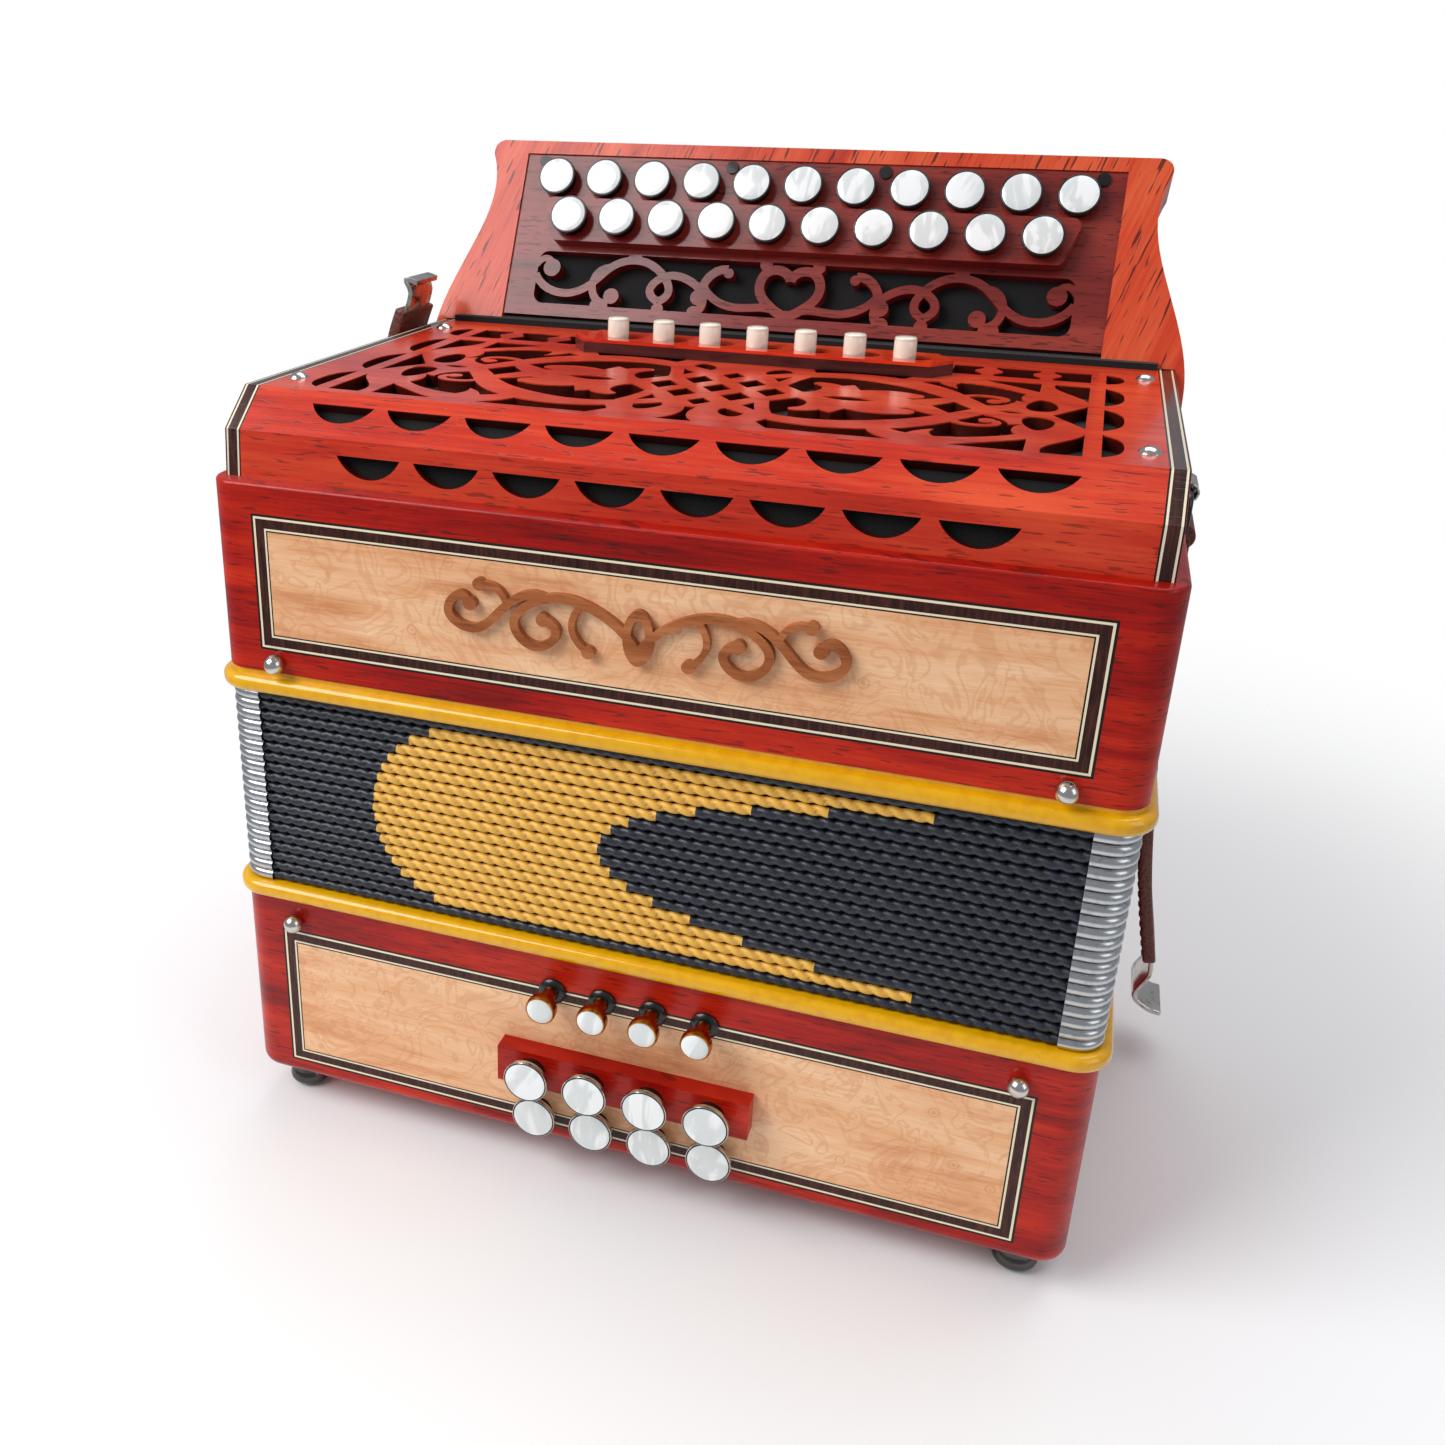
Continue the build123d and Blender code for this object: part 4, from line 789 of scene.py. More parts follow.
def fitted(model: bpy.types.Object, name: str, place: Matrix, look: Look, body: str) -> None:
    """Copy a model to its place on a body.

    Args:
        model: the piece to copy.
        name: the copy's name.
        place: where it goes.
        look: its finish.
        body: the body that carries it.
    """
    piece = dressed(copied(model, name, place), look)
    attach(piece, body)


def repaint(node: str, material: bpy.types.Material) -> None:
    """Give a CAD node a better material."""
    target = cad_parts[node]
    if target.material_slots:
        for holder in target.material_slots:
            holder.material = material
    else:
        target.data.materials.append(material)


def nodes_named(stem: str) -> list[str]:
    """The CAD nodes whose names start with a stem, in order."""
    return sorted(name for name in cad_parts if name.startswith(stem))


def towards(origin: Vector, axis: Vector) -> Matrix:
    """A placement whose z runs along an axis."""
    return Matrix.Translation(origin) @ axis.to_track_quat("Z", "Y").to_matrix().to_4x4()


# ------------------------------------------------------------------ the model's layout
@dataclass(frozen=True)
class Layout:
    """Where the casing stands, and how lengths from its front and top turn into metres."""

    middle: float
    front: float
    top: float
    half_length: float
    depth: float

    @classmethod
    def found(cls) -> "Layout":
        """Read the treble casing's box."""
        low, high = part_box("treble_casing")
        return cls((low[0] + high[0]) / 2, low[1], high[2], (high[0] - low[0]) / 2, high[1] - low[1])

    def at(self, x: float, y: float, z: float) -> Vector:
        """A place in metres.

        Args:
            x: millimetres right of the casing's middle.
            y: millimetres behind the casing's front face.
            z: millimetres above the casing's top.

        Returns:
            The place in the row frame.
        """
        return Vector((self.middle + x * MM, self.front + y * MM, self.top + z * MM))


@dataclass
class Casings:
    """The wooden casings, their inlays and everything else whose shape comes from the CAD."""

    layout: Layout
    treble_inlay: tuple[float, float] = (-31.8, 22.3)
    bass_inlay_half: float = 27.8
    inlay_half: float = 125.9
    dark_screws: float = 60.0
    foot_height: float = 12.2
    bar_veneer: float = 1.05
    plain: dict[str, Look] = field(default_factory=lambda: {
        "treble_casing": CASING_WOOD, "bass_casing": CASING_WOOD, "keyboard_frame": CHEEK_WOOD,
        "keyboard_plate": PLATE_WOOD, "treble_soundboard": SPRUCE, "treble_reed_blocks": SPRUCE,
        "bass_reed_unit": SPRUCE, "cloths_and_felt": BLACK_CLOTH, "treble_bellows_frame": GILT,
        "bass_bellows_frame": GILT, "hand_strap": STRAP_LEATHER, "air_button": BLACK,
        "strap_tabs": STRAP_LEATHER, "bellows": CARD})

    def build(self) -> None:
        """Paint the CAD nodes."""
        place = self.layout
        bar_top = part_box("register_bar")[1][2]
        looks = dict(self.plain)
        looks["grille_cover"] = BandedCover("cover_finish", COVER_WOOD, BAND_WOOD, place.middle,
                                            front=place.front, foot=place.top)
        veneer, screws = bar_top - self.bar_veneer * MM, place.top + self.dark_screws * MM
        looks["register_bar"] = TwoPart("register_bar_finish", veneer, BAR_EDGE, BAR_TOP)
        looks["treble_fasteners"] = TwoPart("fastener_finish", screws, PLATED, BLACKED)
        looks["bass_feet_and_pins"] = TwoPart("foot_finish", self.foot_height * MM, FOOT_STEEL, PLATED)
        for stem, look in (("key_", BLACK), ("bass_key_", BLACK), ("stop_knob_", BRASS),
                           ("register_", PEG_PEARL)):
            looks.update({node: look for node in nodes_named(stem) if node not in looks})
        for node, look in looks.items():
            repaint(node, finish(look))
        self.paint_inlays()

    def paint_inlays(self) -> None:
        """Give both inlays their stringing, each measured from its own edges."""
        treble_mid, treble_half = self.treble_inlay
        low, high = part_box("bass_inlay")
        for node, mid, half in (("treble_inlay", self.layout.top + treble_mid * MM, treble_half),
                                ("bass_inlay", (low[2] + high[2]) / 2, self.bass_inlay_half)):
            inlay = Inlay(f"{node}_wood", MAPLE, BAND_WOOD, CARVING_WOOD)
            repaint(node, inlay.material(self.layout, mid, half * MM, self.inlay_half * MM))


# ------------------------------------------------------------------ bellows
@dataclass
class Bellows:
    """Nineteen ridges of tape with metal corner caps, and the pleats between them."""

    layout: Layout
    folds: int = 19
    pitch: float = 3.75
    corner: float = 9.0
    bump: float = 4.6
    bump_height: float = 1.1
    twist: float = 0.9
    cap_start: float = 127.0
    cap_reach: float = 14.0
    valley: float = 15.0
    ridge_out: float = 2.3
    corner_steps: int = 8
    ridge_spacing: float = 0.78
    cap_spacing: float = 2.0
    pleat_spacing: float = 12.0
    crescent: tuple[float, float] = (-57.0, 32.0)
    bite: tuple[float, float, float] = (-12.0, 0.0719, 4.2e-5)
    ridge_rows: Profile = (
        (3.2, -1.78), (1.9, -1.62), (1.25, -1.05), (1.0, 0.0), (1.25, 1.05), (1.9, 1.62), (3.2, 1.78))
    cap_rows: Profile = (
        (2.4, -1.74), (0.95, -1.66), (0.35, -1.1), (0.1, 0.0), (0.35, 1.1), (0.95, 1.66), (2.4, 1.74))
    reach: float = 10.0

    def __post_init__(self) -> None:
        """Read the bellows' height from the CAD."""
        low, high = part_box("bellows")
        self.low, self.high = low[2], high[2]

    def ring(self, setback: float, fine: float) -> list[tuple[float, float, float, float, float]]:
        """Points round the casing at a setback from its faces.

        Args:
            setback: millimetres behind the casing's faces.
            fine: spacing of the points along the straight sides, in millimetres.

        Returns:
            For each point x and y in millimetres from the middle of the front face, its outward
            direction, and how far round it is.
        """
        half_x, half_y = self.layout.half_length / MM, self.layout.depth / MM / 2
        radius = max(self.corner - setback, 0.6)
        inner_x, inner_y = half_x - setback - radius, half_y - setback - radius
        full_x, full_y = half_x - self.corner, half_y - self.corner
        across, deep = round(2 * full_x / fine), round(2 * full_y / fine)
        sides = ((0, -1, across, full_x), (1, 0, deep, full_y), (0, 1, across, full_x), (-1, 0, deep, full_y))
        points, travelled = [], 0.0
        for nx, ny, count, half in sides:
            tx, ty = -ny, nx
            inner = inner_x if nx == 0 else inner_y
            out = (inner_y if nx == 0 else inner_x) + radius
            for i in range(count):
                share = 2 * i / count - 1
                x, y = nx * out + tx * inner * share, ny * out + ty * inner * share
                points.append((x, y + half_y, nx, ny, travelled + half * (share + 1)))
            travelled += 2 * half
            for i in range(self.corner_steps):
                angle = i / self.corner_steps * math.pi / 2
                dx = nx * math.cos(angle) + tx * math.sin(angle)
                dy = ny * math.cos(angle) + ty * math.sin(angle)
                x, y = (nx + tx) * inner_x + radius * dx, (ny + ty) * inner_y + radius * dy
                points.append((x, y + half_y, dx, dy, travelled + angle * self.corner))
            travelled += math.pi / 2 * self.corner
        return points

    def gold(self, x: float, y: float, fold: int) -> float:
        """1 where a ridge's tape is yellow, falling through 0.5 at the edge of the pattern."""
        if fold in (1, self.folds) or 2 < y < self.layout.depth / MM - 2:
            return 0.0
        if y > self.layout.depth / MM / 2:
            x = -x
        rise = ((self.folds + 1) / 2 - fold) * self.pitch
        middle, radius = self.crescent
        tip, square, fourth = self.bite
        left = middle - math.sqrt(max(radius ** 2 - rise ** 2, 0))
        right = tip + square * rise ** 2 + fourth * rise ** 4
        return min(max(0.5 + min(x - left, right - x), 0.0), 1.0)

    def shell(self, name: str, rows: list[list[Vector]], closed: bool) -> bpy.types.Object:
        """A skin over rows of points, whose ends meet if it is closed."""
        count = len(rows[0])
        mesh = bpy.data.meshes.new(name)
        faces = []
        for r in range(len(rows) - 1):
            for i in range(count if closed else count - 1):
                j = (i + 1) % count
                faces.append((r * count + i, r * count + j, (r + 1) * count + j, (r + 1) * count + i))
        mesh.from_pydata([tuple(point) for row in rows for point in row], [], faces)
        piece = bpy.data.objects.new(name, mesh)
        bpy.context.scene.collection.objects.link(piece)
        mesh.shade_smooth()
        return piece

    def share(self, level: float) -> float:
        """How much of the bellows' stretch a height takes, from 0 to 1."""
        return (level - self.low) / (self.high - self.low)

    def hold(self, piece: bpy.types.Object) -> None:
        """Bake a ridge's placement into its mesh."""
        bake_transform(piece)

    def stretch(self, piece: bpy.types.Object) -> None:
        """Bake a pleat's placement into its mesh."""
        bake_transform(piece)

    def level(self, fold: int) -> float:
        """Height of a ridge, counted from the top."""
        return self.high - (fold - 0.5) * self.pitch * MM

    def ridge(self, fold: int) -> bpy.types.Object:
        """One ridge of wrapped tape."""
        level = self.level(fold)
        phase = (fold % 2) * 0.5
        rows, gold, crest = [], [], []
        for setback, dz in self.ridge_rows:
            row = []
            for x, y, nx, ny, travelled in self.ring(setback, self.ridge_spacing):
                turn = (travelled + self.twist * dz) / self.bump + phase
                wave = abs(math.sin(math.pi * turn)) ** 0.7
                lift = self.bump_height * (wave - 0.75) * max(1 - abs(dz) / 2.4, 0.0)
                point = self.layout.at(x + nx * lift, y + ny * lift, 0)
                point.z = level + dz * MM * (0.72 + 0.28 * wave)
                row.append(point)
                gold.append(self.gold(x, y, fold))
                # crest: 1 on a bump's top, 0 in its trough; the tape's painted shade follows it
                crest.append(wave)
            rows.append(row)
        piece = self.shell(f"bellows_ridge_{fold:02d}", rows, True)
        for label, values in (("gold", gold), ("crest", crest)):
            piece.data.attributes.new(label, "FLOAT", "POINT").data.foreach_set("value", values)
        self.hold(piece)
        return dressed(piece, TAPE)

    def cap(self, side: int, far: bool, level: float) -> bpy.types.Object:
        """The metal cap on one corner of a ridge.

        Args:
            side: 1 on the right, -1 on the left.
            far: whether it is at the back.
            level: the ridge's height.

        Returns:
            The new object.
        """
        depth = self.layout.depth / MM
        rows = []
        for setback, dz in self.cap_rows:
            row = []
            for x, y, *_ in self.ring(setback, self.cap_spacing):
                near = depth - y if far else y
                if x * side > self.cap_start and near < self.cap_reach:
                    row.append((near + x * side, x, y))
            row.sort(key=lambda spot: spot[0])
            points = [self.layout.at(x, y, 0) for _, x, y in row]
            for point in points:
                point.z = level + dz * MM
            rows.append(points)
        return self.shell(f"cap_{side}_{far}", rows, False)

    def caps(self, fold: int) -> bpy.types.Object:
        """The four metal caps on one ridge."""
        level = self.level(fold)
        parts = [self.cap(side, far, level) for side in (-1, 1) for far in (False, True)]
        piece = welded(parts, f"bellows_caps_{fold:02d}")
        bpy.ops.object.mode_set(mode="EDIT")
        faces_out()
        self.hold(piece)
        return dressed(piece, CAP_METAL)

    def pleat(self, number: int, low: float, high: float, rows: Profile) -> bpy.types.Object:
        """The folded cloth between two heights.

        Args:
            number: the pleat's number, counted from the foot.
            low: height of its lower edge.
            high: height of its upper edge.
            rows: the setback of each row of points, and its share of the height.

        Returns:
            The new object.
        """
        skins = []
        for setback, share in rows:
            row = [self.layout.at(x, y, 0) for x, y, *_ in self.ring(setback, self.pleat_spacing)]
            for point in row:
                point.z = low + (high - low) * share
            skins.append(row)
        piece = self.shell(f"bellows_pleat_{number:02d}", skins, True)
        self.stretch(piece)
        return dressed(piece, CARD)

    def build(self) -> None:
        """Build every ridge, its caps and the pleats."""
        for fold in range(1, self.folds + 1):
            ridge = self.ridge(fold)
            self.caps(fold)
            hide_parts("bellows")
        levels = [self.low] + [self.level(fold) for fold in range(self.folds, 0, -1)] + [self.high]
        for number, (low, high) in enumerate(zip(levels, levels[1:]), 1):
            rows = [(self.ridge_out, 0.0), (self.valley, 0.5), (self.ridge_out, 1.0)]
            if low == self.low:
                rows = [(self.valley, 0.0), (self.ridge_out, 1.0)]
            elif high == self.high:
                rows = [(self.ridge_out, 0.0), (self.valley, 1.0)]
            self.pleat(number, low, high, rows)
        log.info("bellows: %d folds", self.folds)


# ------------------------------------------------------------------ buttons and knobs
@dataclass
class Keyboard:
    """The treble buttons on their leaning plate."""

    layout: Layout
    tilt: float = 26.0
    plate_y: float = 170.9
    plate_z: float = 29.1
    key_pitch: float = 19.6
    rows: tuple[tuple[str, int, float, float], ...] = (
        ("key_outer", 11, 54.6, 5.2), ("key_inner", 10, 37.0, 11.2))
    disc: float = 7.3
    disc_thick: float = 1.8
    turn: float = 1.9

    def model(self) -> tuple[bpy.types.Object, bpy.types.Object]:
        """A button's pearl top and its dark rim, with their top at the origin's level."""
        r, thick = self.disc, self.disc_thick
        pearl = turned("button_pearl", ((r - 0.5, -thick + 0.1), (r - 0.42, -0.3), (r - 0.6, -0.02),
                                        (r - 0.95, 0.1), (r * 0.62, 0.2), (r * 0.3, 0.24), (0.4, 0.25)))
        rim = turned("button_rim", ((r - 0.5, -thick - 0.15), (r + 0.02, -thick - 0.05),
                                    (r + 0.1, -thick + 0.3), (r + 0.1, -0.35), (r - 0.02, -0.12),
                                    (r - 0.3, -0.1)))
        return pearl, rim

    def build(self) -> None:
        """Put a button on every key."""
        pearl, rim = self.model()
        angle = math.radians(self.tilt)
        along, out = (math.sin(angle), math.cos(angle)), (-math.cos(angle), math.sin(angle))
        for stem, count, row, rise in self.rows:
            for i in range(count):
                body = f"{stem}_{i + 1:02d}"
                x = (i - (count - 1) / 2) * self.key_pitch
                spot = self.layout.at(x, self.plate_y + along[0] * row + out[0] * rise,
                                      self.plate_z + along[1] * row + out[1] * rise)
                place = towards(spot, Vector((0, out[0], out[1])))
                place = place @ Matrix.Rotation(i * self.turn, 4, "Z")
                fitted(pearl, f"{body}_pearl", place, PEARL, body)
                fitted(rim, f"{body}_rim", place, BLACK, body)
        scrapped(pearl, rim)
        log.info("treble buttons: %s", [count for _, count, *_ in self.rows])


@dataclass
class Registers:
    """Rounded pearl pegs over the register rods."""

    pegs: int = 7
    radius: float = 3.76
    turn: float = 0.9

    def build(self) -> None:
        """Turn one peg, and put a copy on each register."""
        r = self.radius
        model = turned("peg", ((r - 0.1, -8.4), (r, -8.2), (r + 0.06, -5.0), (r, -1.2), (r - 0.35, -0.4),
                               (r - 1.0, 0.02), (r * 0.4, 0.2), (0.3, 0.24)))
        for i in range(self.pegs):
            body = f"register_{i + 1}"
            low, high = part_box(body)
            spot = Vector(((low[0] + high[0]) / 2, (low[1] + high[1]) / 2, high[2]))
            place = Matrix.Translation(spot) @ Matrix.Rotation(i * self.turn, 4, "Z")
            fitted(model, f"{body}_peg", place, PEG_PEARL, body)
        scrapped(model)
        log.info("registers: %d pegs", self.pegs)


@dataclass
class BassWorks:
    """The bass buttons and the turned stop knobs on the bass casing's front."""

    layout: Layout
    ground: float = -232.45
    bass_top: float = -145.95
    pitch: float = 20.2
    rows: Profile = ((45.0, 13.0), (24.6, 5.6))
    columns: int = 4
    turn: float = 2.3
    disc: float = 7.5
    stem: float = 4.7
    stop_pitch: float = 17.0
    stops: int = 4
    stop_below: float = 12.8
    stop_reach: float = 12.5

    def bass_buttons(self) -> None:
        """Pearl discs in metal rims, on black stems with a collar against the casing."""
        r = self.disc
        pearl = turned("bass_pearl", ((r - 0.45, -1.5), (r - 0.4, -0.3), (r - 0.65, 0.02), (r * 0.6, 0.14),
                                      (r * 0.3, 0.16), (0.4, 0.18)))
        rim = turned("bass_rim", ((self.stem + 0.2, -1.95), (r - 0.6, -1.9), (r + 0.1, -1.5),
                                  (r + 0.16, -0.8), (r + 0.04, -0.2), (r - 0.15, -0.06), (r - 0.35, -0.1)))
        for row, (height, reach) in enumerate(self.rows):
            for i in range(self.columns):
                x = (i - (self.columns - 1) / 2) * self.pitch
                body = f"bass_key_{row * self.columns + i + 1:02d}"
                place = towards(self.layout.at(x, -reach, self.ground + height), Vector((0, -1, 0)))
                place = place @ Matrix.Rotation(i * self.turn + row, 4, "Z")
                fitted(pearl, f"{body}_pearl", place, PEARL, body)
                fitted(rim, f"{body}_rim", place, NICKEL, body)
        scrapped(pearl, rim)

    def stop_knobs(self) -> None:
        """Turned knobs: a pearl face in a brass head, and a black collar."""
        face = turned("stop_pearl", ((4.3, -1.0), (4.35, -0.15), (4.1, 0.05), (2.6, 0.16), (0.4, 0.2)), 32)
        head = turned("stop_head", ((2.9, -5.9), (3.4, -5.6), (3.0, -5.0), (3.2, -4.3), (4.3, -3.7),
                                    (4.95, -2.9), (5.0, -1.4), (4.95, -0.5), (4.7, -0.1), (4.45, -0.1)), 32)
        collar = turned("stop_collar", ((4.4, -12.4), (4.6, -12.2), (4.6, -11.3), (4.2, -10.8), (3.5, -10.5),
                                        (3.1, -10.3)), 32)
        for i in range(self.stops):
            x = (i - (self.stops - 1) / 2) * self.stop_pitch
            body = f"stop_knob_{i + 1}"
            spot = self.layout.at(x, -self.stop_reach, self.bass_top - self.stop_below)
            place = towards(spot, Vector((0, -1, 0)))
            fitted(face, f"{body}_pearl", place, PEARL, body)
            fitted(head, f"{body}_head", place, BRASS, body)
            fitted(collar, f"{body}_collar", place, BLACK, BASS)
        scrapped(face, head, collar)

    def build(self) -> None:
        """Build the buttons and the knobs."""
        self.bass_buttons()
        self.stop_knobs()
        log.info("bass front: %d buttons, %d stops", self.columns * len(self.rows), self.stops)


# ------------------------------------------------------------------ leather tabs
@dataclass
class StrapTabs:
    """The two leather tabs that the shoulder strap would be buckled to, with rings, brackets and clips."""

    layout: Layout
    middle: float = 150.0
    width: float = 26.0
    thick: float = 4.6
    ring_out: float = 5.6
    ring_below: float = 10.0
    ring_drop: float = 14.0
    ring_width: float = 34.0
    wire: float = 1.5
    ring_corner: float = 3.2
    plate: Point = (1.5, 17.0, 8.5)
    screw_apart: float = 13.0
    loop: tuple[float, float] = (16.0, 1.0)
    stitch_gap: float = 4.2
    stitch_inset: float = 2.6
    stitch_sunk: float = 0.05
    cover_top: float = 25.5

    def swept(self, name: str, path: Profile, width: float, thick: float) -> bpy.types.Object:
        """A strip of stuff that follows a path in X and Z.

        Args:
            name: the piece's name.
            path: millimetres from the casing's middle and above its top.
            width: its width along Y, in millimetres.
            thick: its thickness in millimetres.

        Returns:
            The new object.
        """
        spots = [self.layout.at(x, self.middle, z) for x, z in path]
        headings = [(b - a).normalized() for a, b in zip(spots, spots[1:])]
        between = [(a + b).normalized() for a, b in zip(headings, headings[1:])]
        turns = [headings[0], *between, headings[-1]]
        nothing_selected()
        bpy.ops.mesh.primitive_plane_add(size=1.0, location=spots[0])
        piece = bpy.context.object
        piece.name = name
        piece.scale = (thick * MM, width * MM, 1.0)
        angle = math.atan2(turns[0].x, turns[0].z)
        piece.rotation_euler = (0, angle, 0)
        bpy.ops.object.transform_apply(location=True, rotation=True, scale=True)
        editing()
        for spot, following, turn in zip(spots, spots[1:], turns[1:]):
            bpy.ops.mesh.extrude_region_move(TRANSFORM_OT_translate={"value": following - spot})
            new_angle = math.atan2(turn.x, turn.z)
            bpy.ops.transform.rotate(value=angle - new_angle, orient_axis="Y", center_override=following)
            angle = new_angle
        faces_out()
        chosen(piece)
        rounding = piece.modifiers.new("rounding", "BEVEL")
        rounding.width = min(thick * 0.3, 0.9) * MM
        rounding.segments = 2
        rounding.limit_method = "ANGLE"
        rounding.angle_limit = math.radians(50)
        bpy.ops.object.modifier_apply(modifier=rounding.name)
        return smoothed(piece, 50)

    def curve(self, points: Profile, steps: int = 7) -> list[tuple[float, float]]:
        """A smooth path through a few places."""
        padded = [points[0], *points, points[-1]]
        path = []
        for p0, p1, p2, p3 in zip(padded, padded[1:], padded[2:], padded[3:]):
            for i in range(steps):
                t = i / steps
                path.append(tuple(0.5 * (2 * b + (c - a) * t + (2 * a - 5 * b + 4 * c - d) * t * t
                                         + (3 * b - a - 3 * c + d) * t ** 3)
                                  for a, b, c, d in zip(p0, p1, p2, p3)))
        return path + [points[-1]]

    def stitches(self, name: str, path: Profile, side: int) -> bpy.types.Object:
        """Two rows of stitches on the outer face of a tab."""
        out = side * (self.thick / 2 - self.stitch_sunk)
        model = turned("stitch", ((0.2, -1.3), (0.42, -0.9), (0.45, 0.9), (0.2, 1.3)), 8)
        made, gap, travelled = [], self.stitch_gap, 0.0
        for (x0, z0), (x1, z1) in zip(path, path[1:]):
            length = math.hypot(x1 - x0, z1 - z0)
            while gap <= travelled + length:
                part = (gap - travelled) / length
                dx, dz = (x1 - x0) / length, (z1 - z0) / length
                x = x0 + (x1 - x0) * part + dz * out
                z = z0 + (z1 - z0) * part - dx * out
                for row in (-1, 1):
                    spot = self.layout.at(x, self.middle + row * (self.width / 2 - self.stitch_inset), z)
                    made.append(copied(model, "stitch_copy", towards(spot, Vector((dx, 0, dz)))))
                gap += self.stitch_gap
            travelled += length
        thread = welded(made, name)
        scrapped(model)
        return thread

    def ring(self, name: str, x: float, z_low: float, z_high: float) -> bpy.types.Object:
        """A rectangular wire ring in the plane of the casing's side."""
        half, height = self.ring_width / 2 - self.wire, z_high - z_low
        spot = self.layout.at(x, self.middle, (z_low + z_high) / 2)
        nothing_selected()
        bpy.ops.mesh.primitive_plane_add(size=1.0, location=spot, rotation=(0, math.pi / 2, 0))
        loop = bpy.context.object
        loop.scale = (height * MM, 2 * half * MM, 1)
        bpy.ops.object.transform_apply(location=True, rotation=True, scale=True)
        editing()
        bpy.ops.mesh.bevel(offset=self.ring_corner * MM, segments=5, affect="VERTICES")
        bpy.ops.mesh.delete(type="ONLY_FACE")
        bpy.ops.object.mode_set(mode="OBJECT")
        chosen(loop)
        bpy.ops.object.convert(target="CURVE")
        loop.data.bevel_depth, loop.data.bevel_resolution = self.wire * MM, 4
        bpy.ops.object.convert(target="MESH")
        loop.name = name
        return smoothed(loop, 60)

    def bracket(self, name: str, side: int) -> bpy.types.Object:
        """The plate on the casing's side and the loop that holds the ring."""
        thick, half_y, half_z = self.plate
        half, z = self.layout.half_length / MM, -self.ring_below
        near, far = half + 1.2, half + self.ring_out
        edge, face = side * half, side * half + side * thick
        low = self.layout.at(min(edge, face), self.middle - half_y, z - half_z)
        high = self.layout.at(max(edge, face), self.middle + half_y, z + half_z)
        plate = block(name, low, high, 0.5)
        bend = ((near, -3.4), (far, -3.3), (far + 2.4, -2.0), (far + 3.1, 0.0), (far + 2.4, 2.0),
                (far, 3.3), (near, 3.4))
        strap = self.swept(f"{name}_loop", [(side * x, z + rise) for x, rise in bend], *self.loop)
        heads = []
        for apart in (-self.screw_apart, self.screw_apart):
            spot = self.layout.at(face, self.middle + apart, z)
            head = turned("screw_head", ((2.6, 0.0), (2.5, 0.5), (1.9, 1.0), (0.8, 1.3), (0.3, 1.35)), 24)
            heads.append(copied(head, f"{name}_screw", towards(spot, Vector((side, 0, 0)))))
            scrapped(head)
        return welded([plate, strap, *heads], name)

    def build(self) -> None:
        """Build both sides."""
        half = self.layout.half_length / MM
        for label, side in (("right", 1), ("left", -1)):
            x, z = side * (half + self.ring_out), -self.ring_below
            drop = -side * self.ring_drop
            plate = self.bracket(f"strap_bracket_{label}", side)
            loop = self.ring(f"strap_ring_{label}", x, min(z, z + drop), max(z, z + drop))
            far, top = z + drop, self.cover_top
            if side > 0:
                path = self.curve([(x + 0.6, far), (x + 1.0, -56), (x + 2.6, -92), (x + 5.6, -125),
                                   (x + 9.8, -158), (x + 16.2, -190)])
                end = [(x + 16.4, -188), (x + 17.4, -197), (x + 13.4, -207), (x + 19, -212), (x + 24, -213)]
            else:
                path = self.curve([(x - 0.4, far), (x, 13), (x + 2, 23), (x + 5.5, top + 7)])
                end = [(x + 5.5, top + 5), (x + 8, top + 13), (x + 6.2, top + 18), (x + 11, top + 17)]
            leather = self.swept(f"strap_tab_{label}", path, self.width, self.thick)
            eye = turned(f"strap_eye_{label}", ((4.2, -13.0), (4.4, -12.6), (4.4, 12.6), (4.2, 13.0)), 32)
            eye.data.transform(towards(self.layout.at(x, self.middle, far), Vector((0, 1, 0))))
            thread = self.stitches(f"strap_stitches_{label}", path, side)
            spring = self.swept(f"strap_clip_{label}", self.curve(end, 4), 20.0 if side > 0 else 18.0, 1.8)
            for piece, look, slot in ((plate, NICKEL, "nickel"), (loop, BLACK, "nickel"),
                                      (leather, STRAP_LEATHER, "leather"), (eye, STRAP_LEATHER, "leather"),
                                      (thread, THREAD, "leather"), (spring, NICKEL, "nickel")):
                dressed(piece, look)
                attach(piece, TREBLE)
                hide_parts("strap_tabs")
        log.info("strap tabs: two")


# ------------------------------------------------------------------ studio
@dataclass(frozen=True)
class Lamp:
    """A soft rectangular light: where it hangs in metres, its width and height, and its power."""

    name: str
    spot: Point
    aim: Point
    size: tuple[float, float]
    watts: float


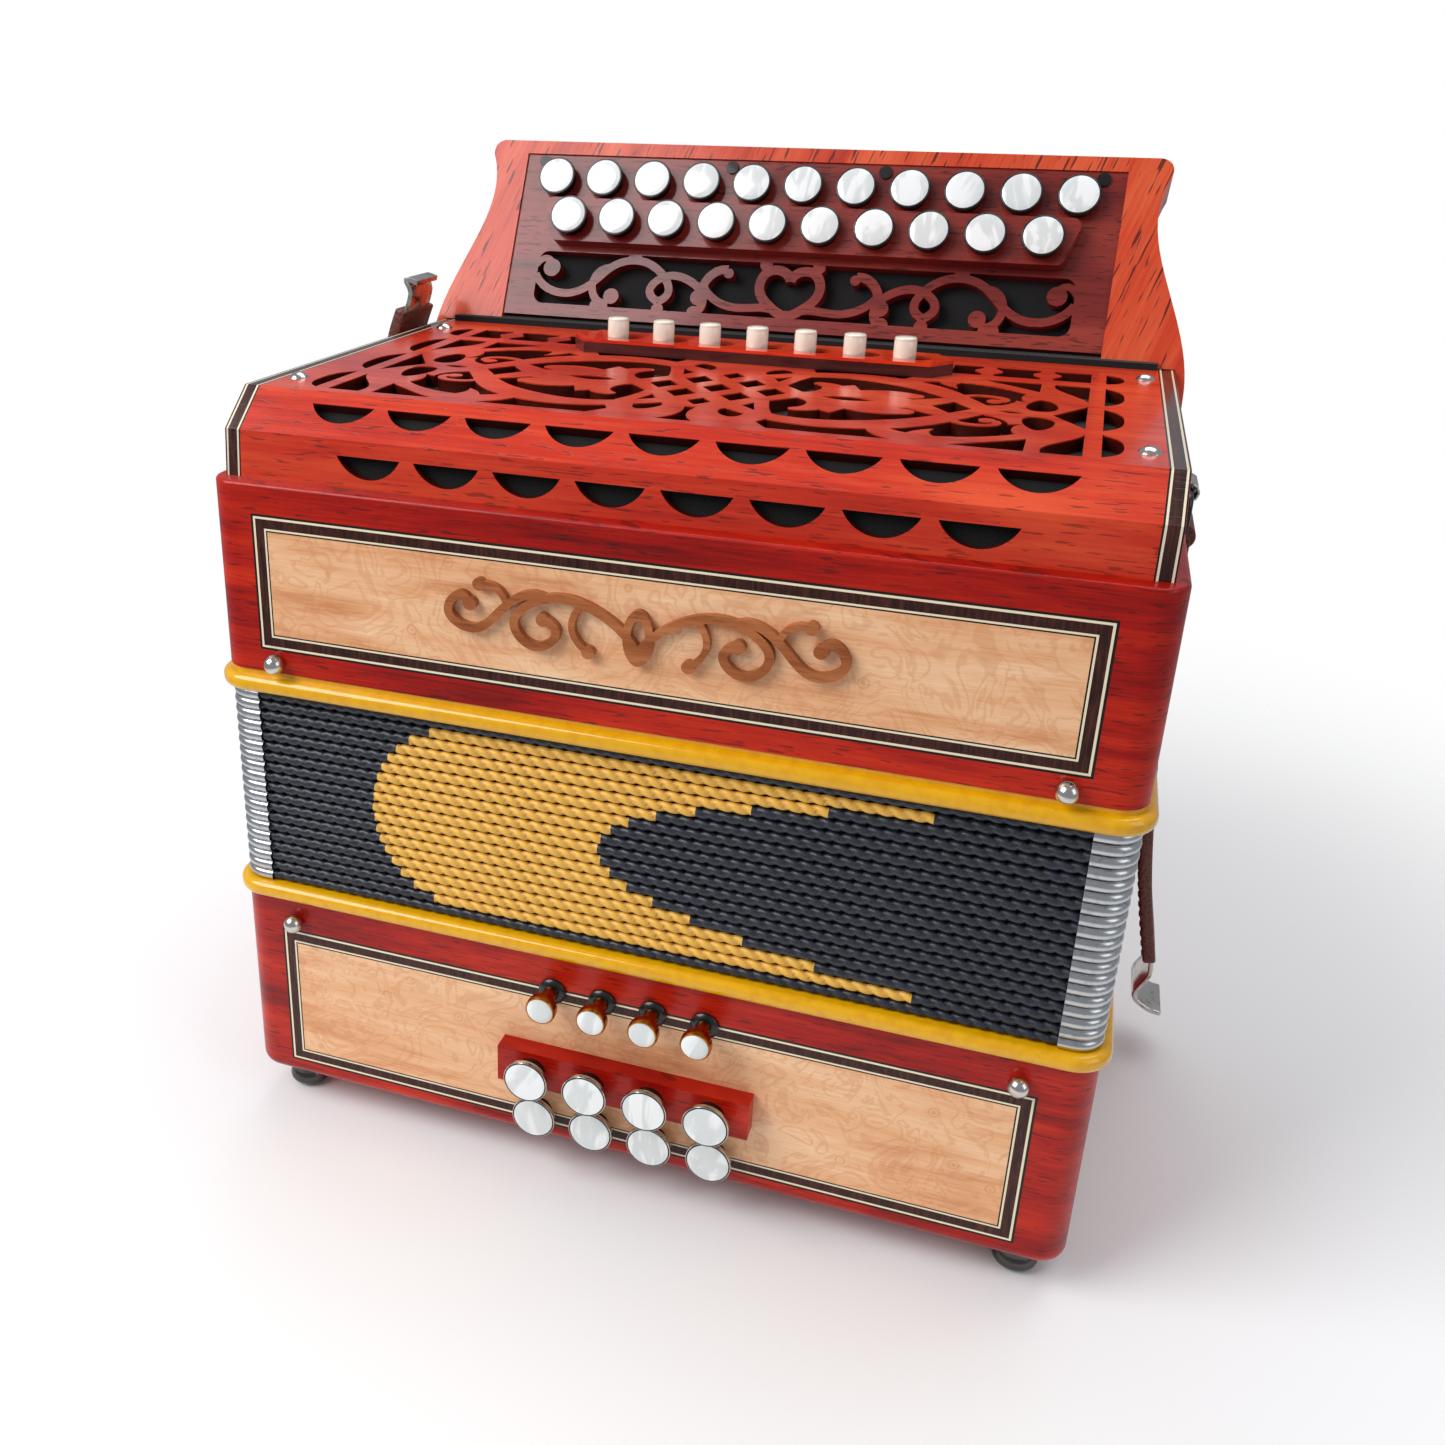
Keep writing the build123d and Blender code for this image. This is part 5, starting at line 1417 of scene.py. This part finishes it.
@dataclass
class Studio:
    """The pale floor, the soft lights and the camera."""

    layout: Layout
    lamps: tuple[Lamp, ...] = (
        Lamp("key_light", (-0.85, -0.75, 1.05), (0, 0, 0.15), (0.9, 0.9), 18.0),
        Lamp("side_light", (1.5, -0.6, 0.9), (0, 0, 0.15), (0.9, 1.2), 4.5),
        Lamp("top_light", (0.1, 0.5, 1.7), (0, 0, 0.2), (1.6, 1.0), 13.0))
    floor_radius: float = 0.7
    floor_drop: float = 0.4
    floor_fade: tuple[float, float] = (0.2, 0.62)
    floor_paint: Colour = (0.9, 0.9, 0.9, 1.0)
    sky: Colour = (0.9, 0.93, 1.0, 1.0)
    sky_strength: float = 0.36
    eye: Point = (108.2, -358.1, 112.4)
    forward: Point = (-0.3071, 0.8709, -0.3836)
    right: Point = (0.9410, 0.3382, 0.0144)
    lens: float = 35.0
    shift: tuple[float, float] = (0.0988, -0.0355)

    def floor(self) -> None:
        """A round pale floor that fades into the background."""
        nothing_selected()
        bpy.ops.mesh.primitive_circle_add(vertices=96, radius=self.floor_radius, fill_type="NGON",
                                          location=(0, 0, -self.floor_drop * MM))
        ground = bpy.context.object
        ground.name = "studio_floor"
        graph = Graph("studio_floor_paint")
        x, y, _ = graph.parts(graph.place())
        away = graph.math("SQRT", graph.plus(graph.times(x, x), graph.times(y, y)))
        clear = graph.minus(1.0, graph.step(away, *self.floor_fade))
        paint = graph.surface(Base_Color=self.floor_paint, Roughness=0.75, Alpha=clear)
        ground.data.materials.append(paint)

    def light(self, lamp: Lamp) -> None:
        """Hang a lamp and point it."""
        nothing_selected()
        bpy.ops.object.light_add(type="AREA", location=lamp.spot)
        light = bpy.context.object
        light.name = lamp.name
        light.data.shape = "RECTANGLE"
        light.data.size, light.data.size_y = lamp.size
        light.data.energy = lamp.watts
        light.rotation_mode = "QUATERNION"
        light.rotation_quaternion = (Vector(lamp.aim) - Vector(lamp.spot)).to_track_quat("-Z", "Y")

    def world(self) -> None:
        """White behind the object, soft grey light on it."""
        world = bpy.data.worlds.new("studio_world")
        bpy.context.scene.world = world
        world.use_nodes = True
        tree = world.node_tree
        tree.nodes.clear()
        output = tree.nodes.new("ShaderNodeOutputWorld")
        shown, lit, mix = (tree.nodes.new(kind) for kind in
                           ("ShaderNodeBackground", "ShaderNodeBackground", "ShaderNodeMixShader"))
        shown.inputs["Color"].default_value = (1, 1, 1, 1)
        lit.inputs["Color"].default_value = self.sky
        lit.inputs["Strength"].default_value = self.sky_strength
        rays = tree.nodes.new("ShaderNodeLightPath")
        tree.links.new(rays.outputs["Is Camera Ray"], mix.inputs["Fac"])
        tree.links.new(lit.outputs[0], mix.inputs[1])
        tree.links.new(shown.outputs[0], mix.inputs[2])
        tree.links.new(mix.outputs[0], output.inputs["Surface"])

    def camera(self) -> None:
        """The camera in front, above and to the right."""
        data = bpy.data.cameras.new("camera")
        seat = bpy.data.objects.new("camera", data)
        bpy.context.scene.collection.objects.link(seat)
        back = -Vector(self.forward).normalized()
        right = Vector(self.right).normalized()
        up = back.cross(right).normalized()
        turn = Matrix((right, up, back)).transposed().to_4x4()
        seat.matrix_world = Matrix.Translation(self.layout.at(*self.eye)) @ turn
        data.lens, data.sensor_width = self.lens, 36.0
        data.shift_x, data.shift_y = self.shift
        data.clip_start, data.clip_end = 0.01, 20.0
        bpy.context.scene.camera = seat

    def build(self) -> None:
        """Set the studio up."""
        self.floor()
        self.world()
        for lamp in self.lamps:
            self.light(lamp)
        self.camera()
        bpy.context.scene.view_settings.view_transform = "Standard"


def main() -> None:
    """Build the accordion in the shared frame and set up the studio."""
    logging.basicConfig(level=logging.INFO, format="%(name)s: %(message)s")
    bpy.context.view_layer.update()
    layout = Layout.found()
    for part in (Casings(layout), Bellows(layout), Keyboard(layout), Registers(), BassWorks(layout),
                 StrapTabs(layout), Studio(layout)):
        part.build()
    bpy.context.view_layer.update()


if __name__ == "__main__":
    main()
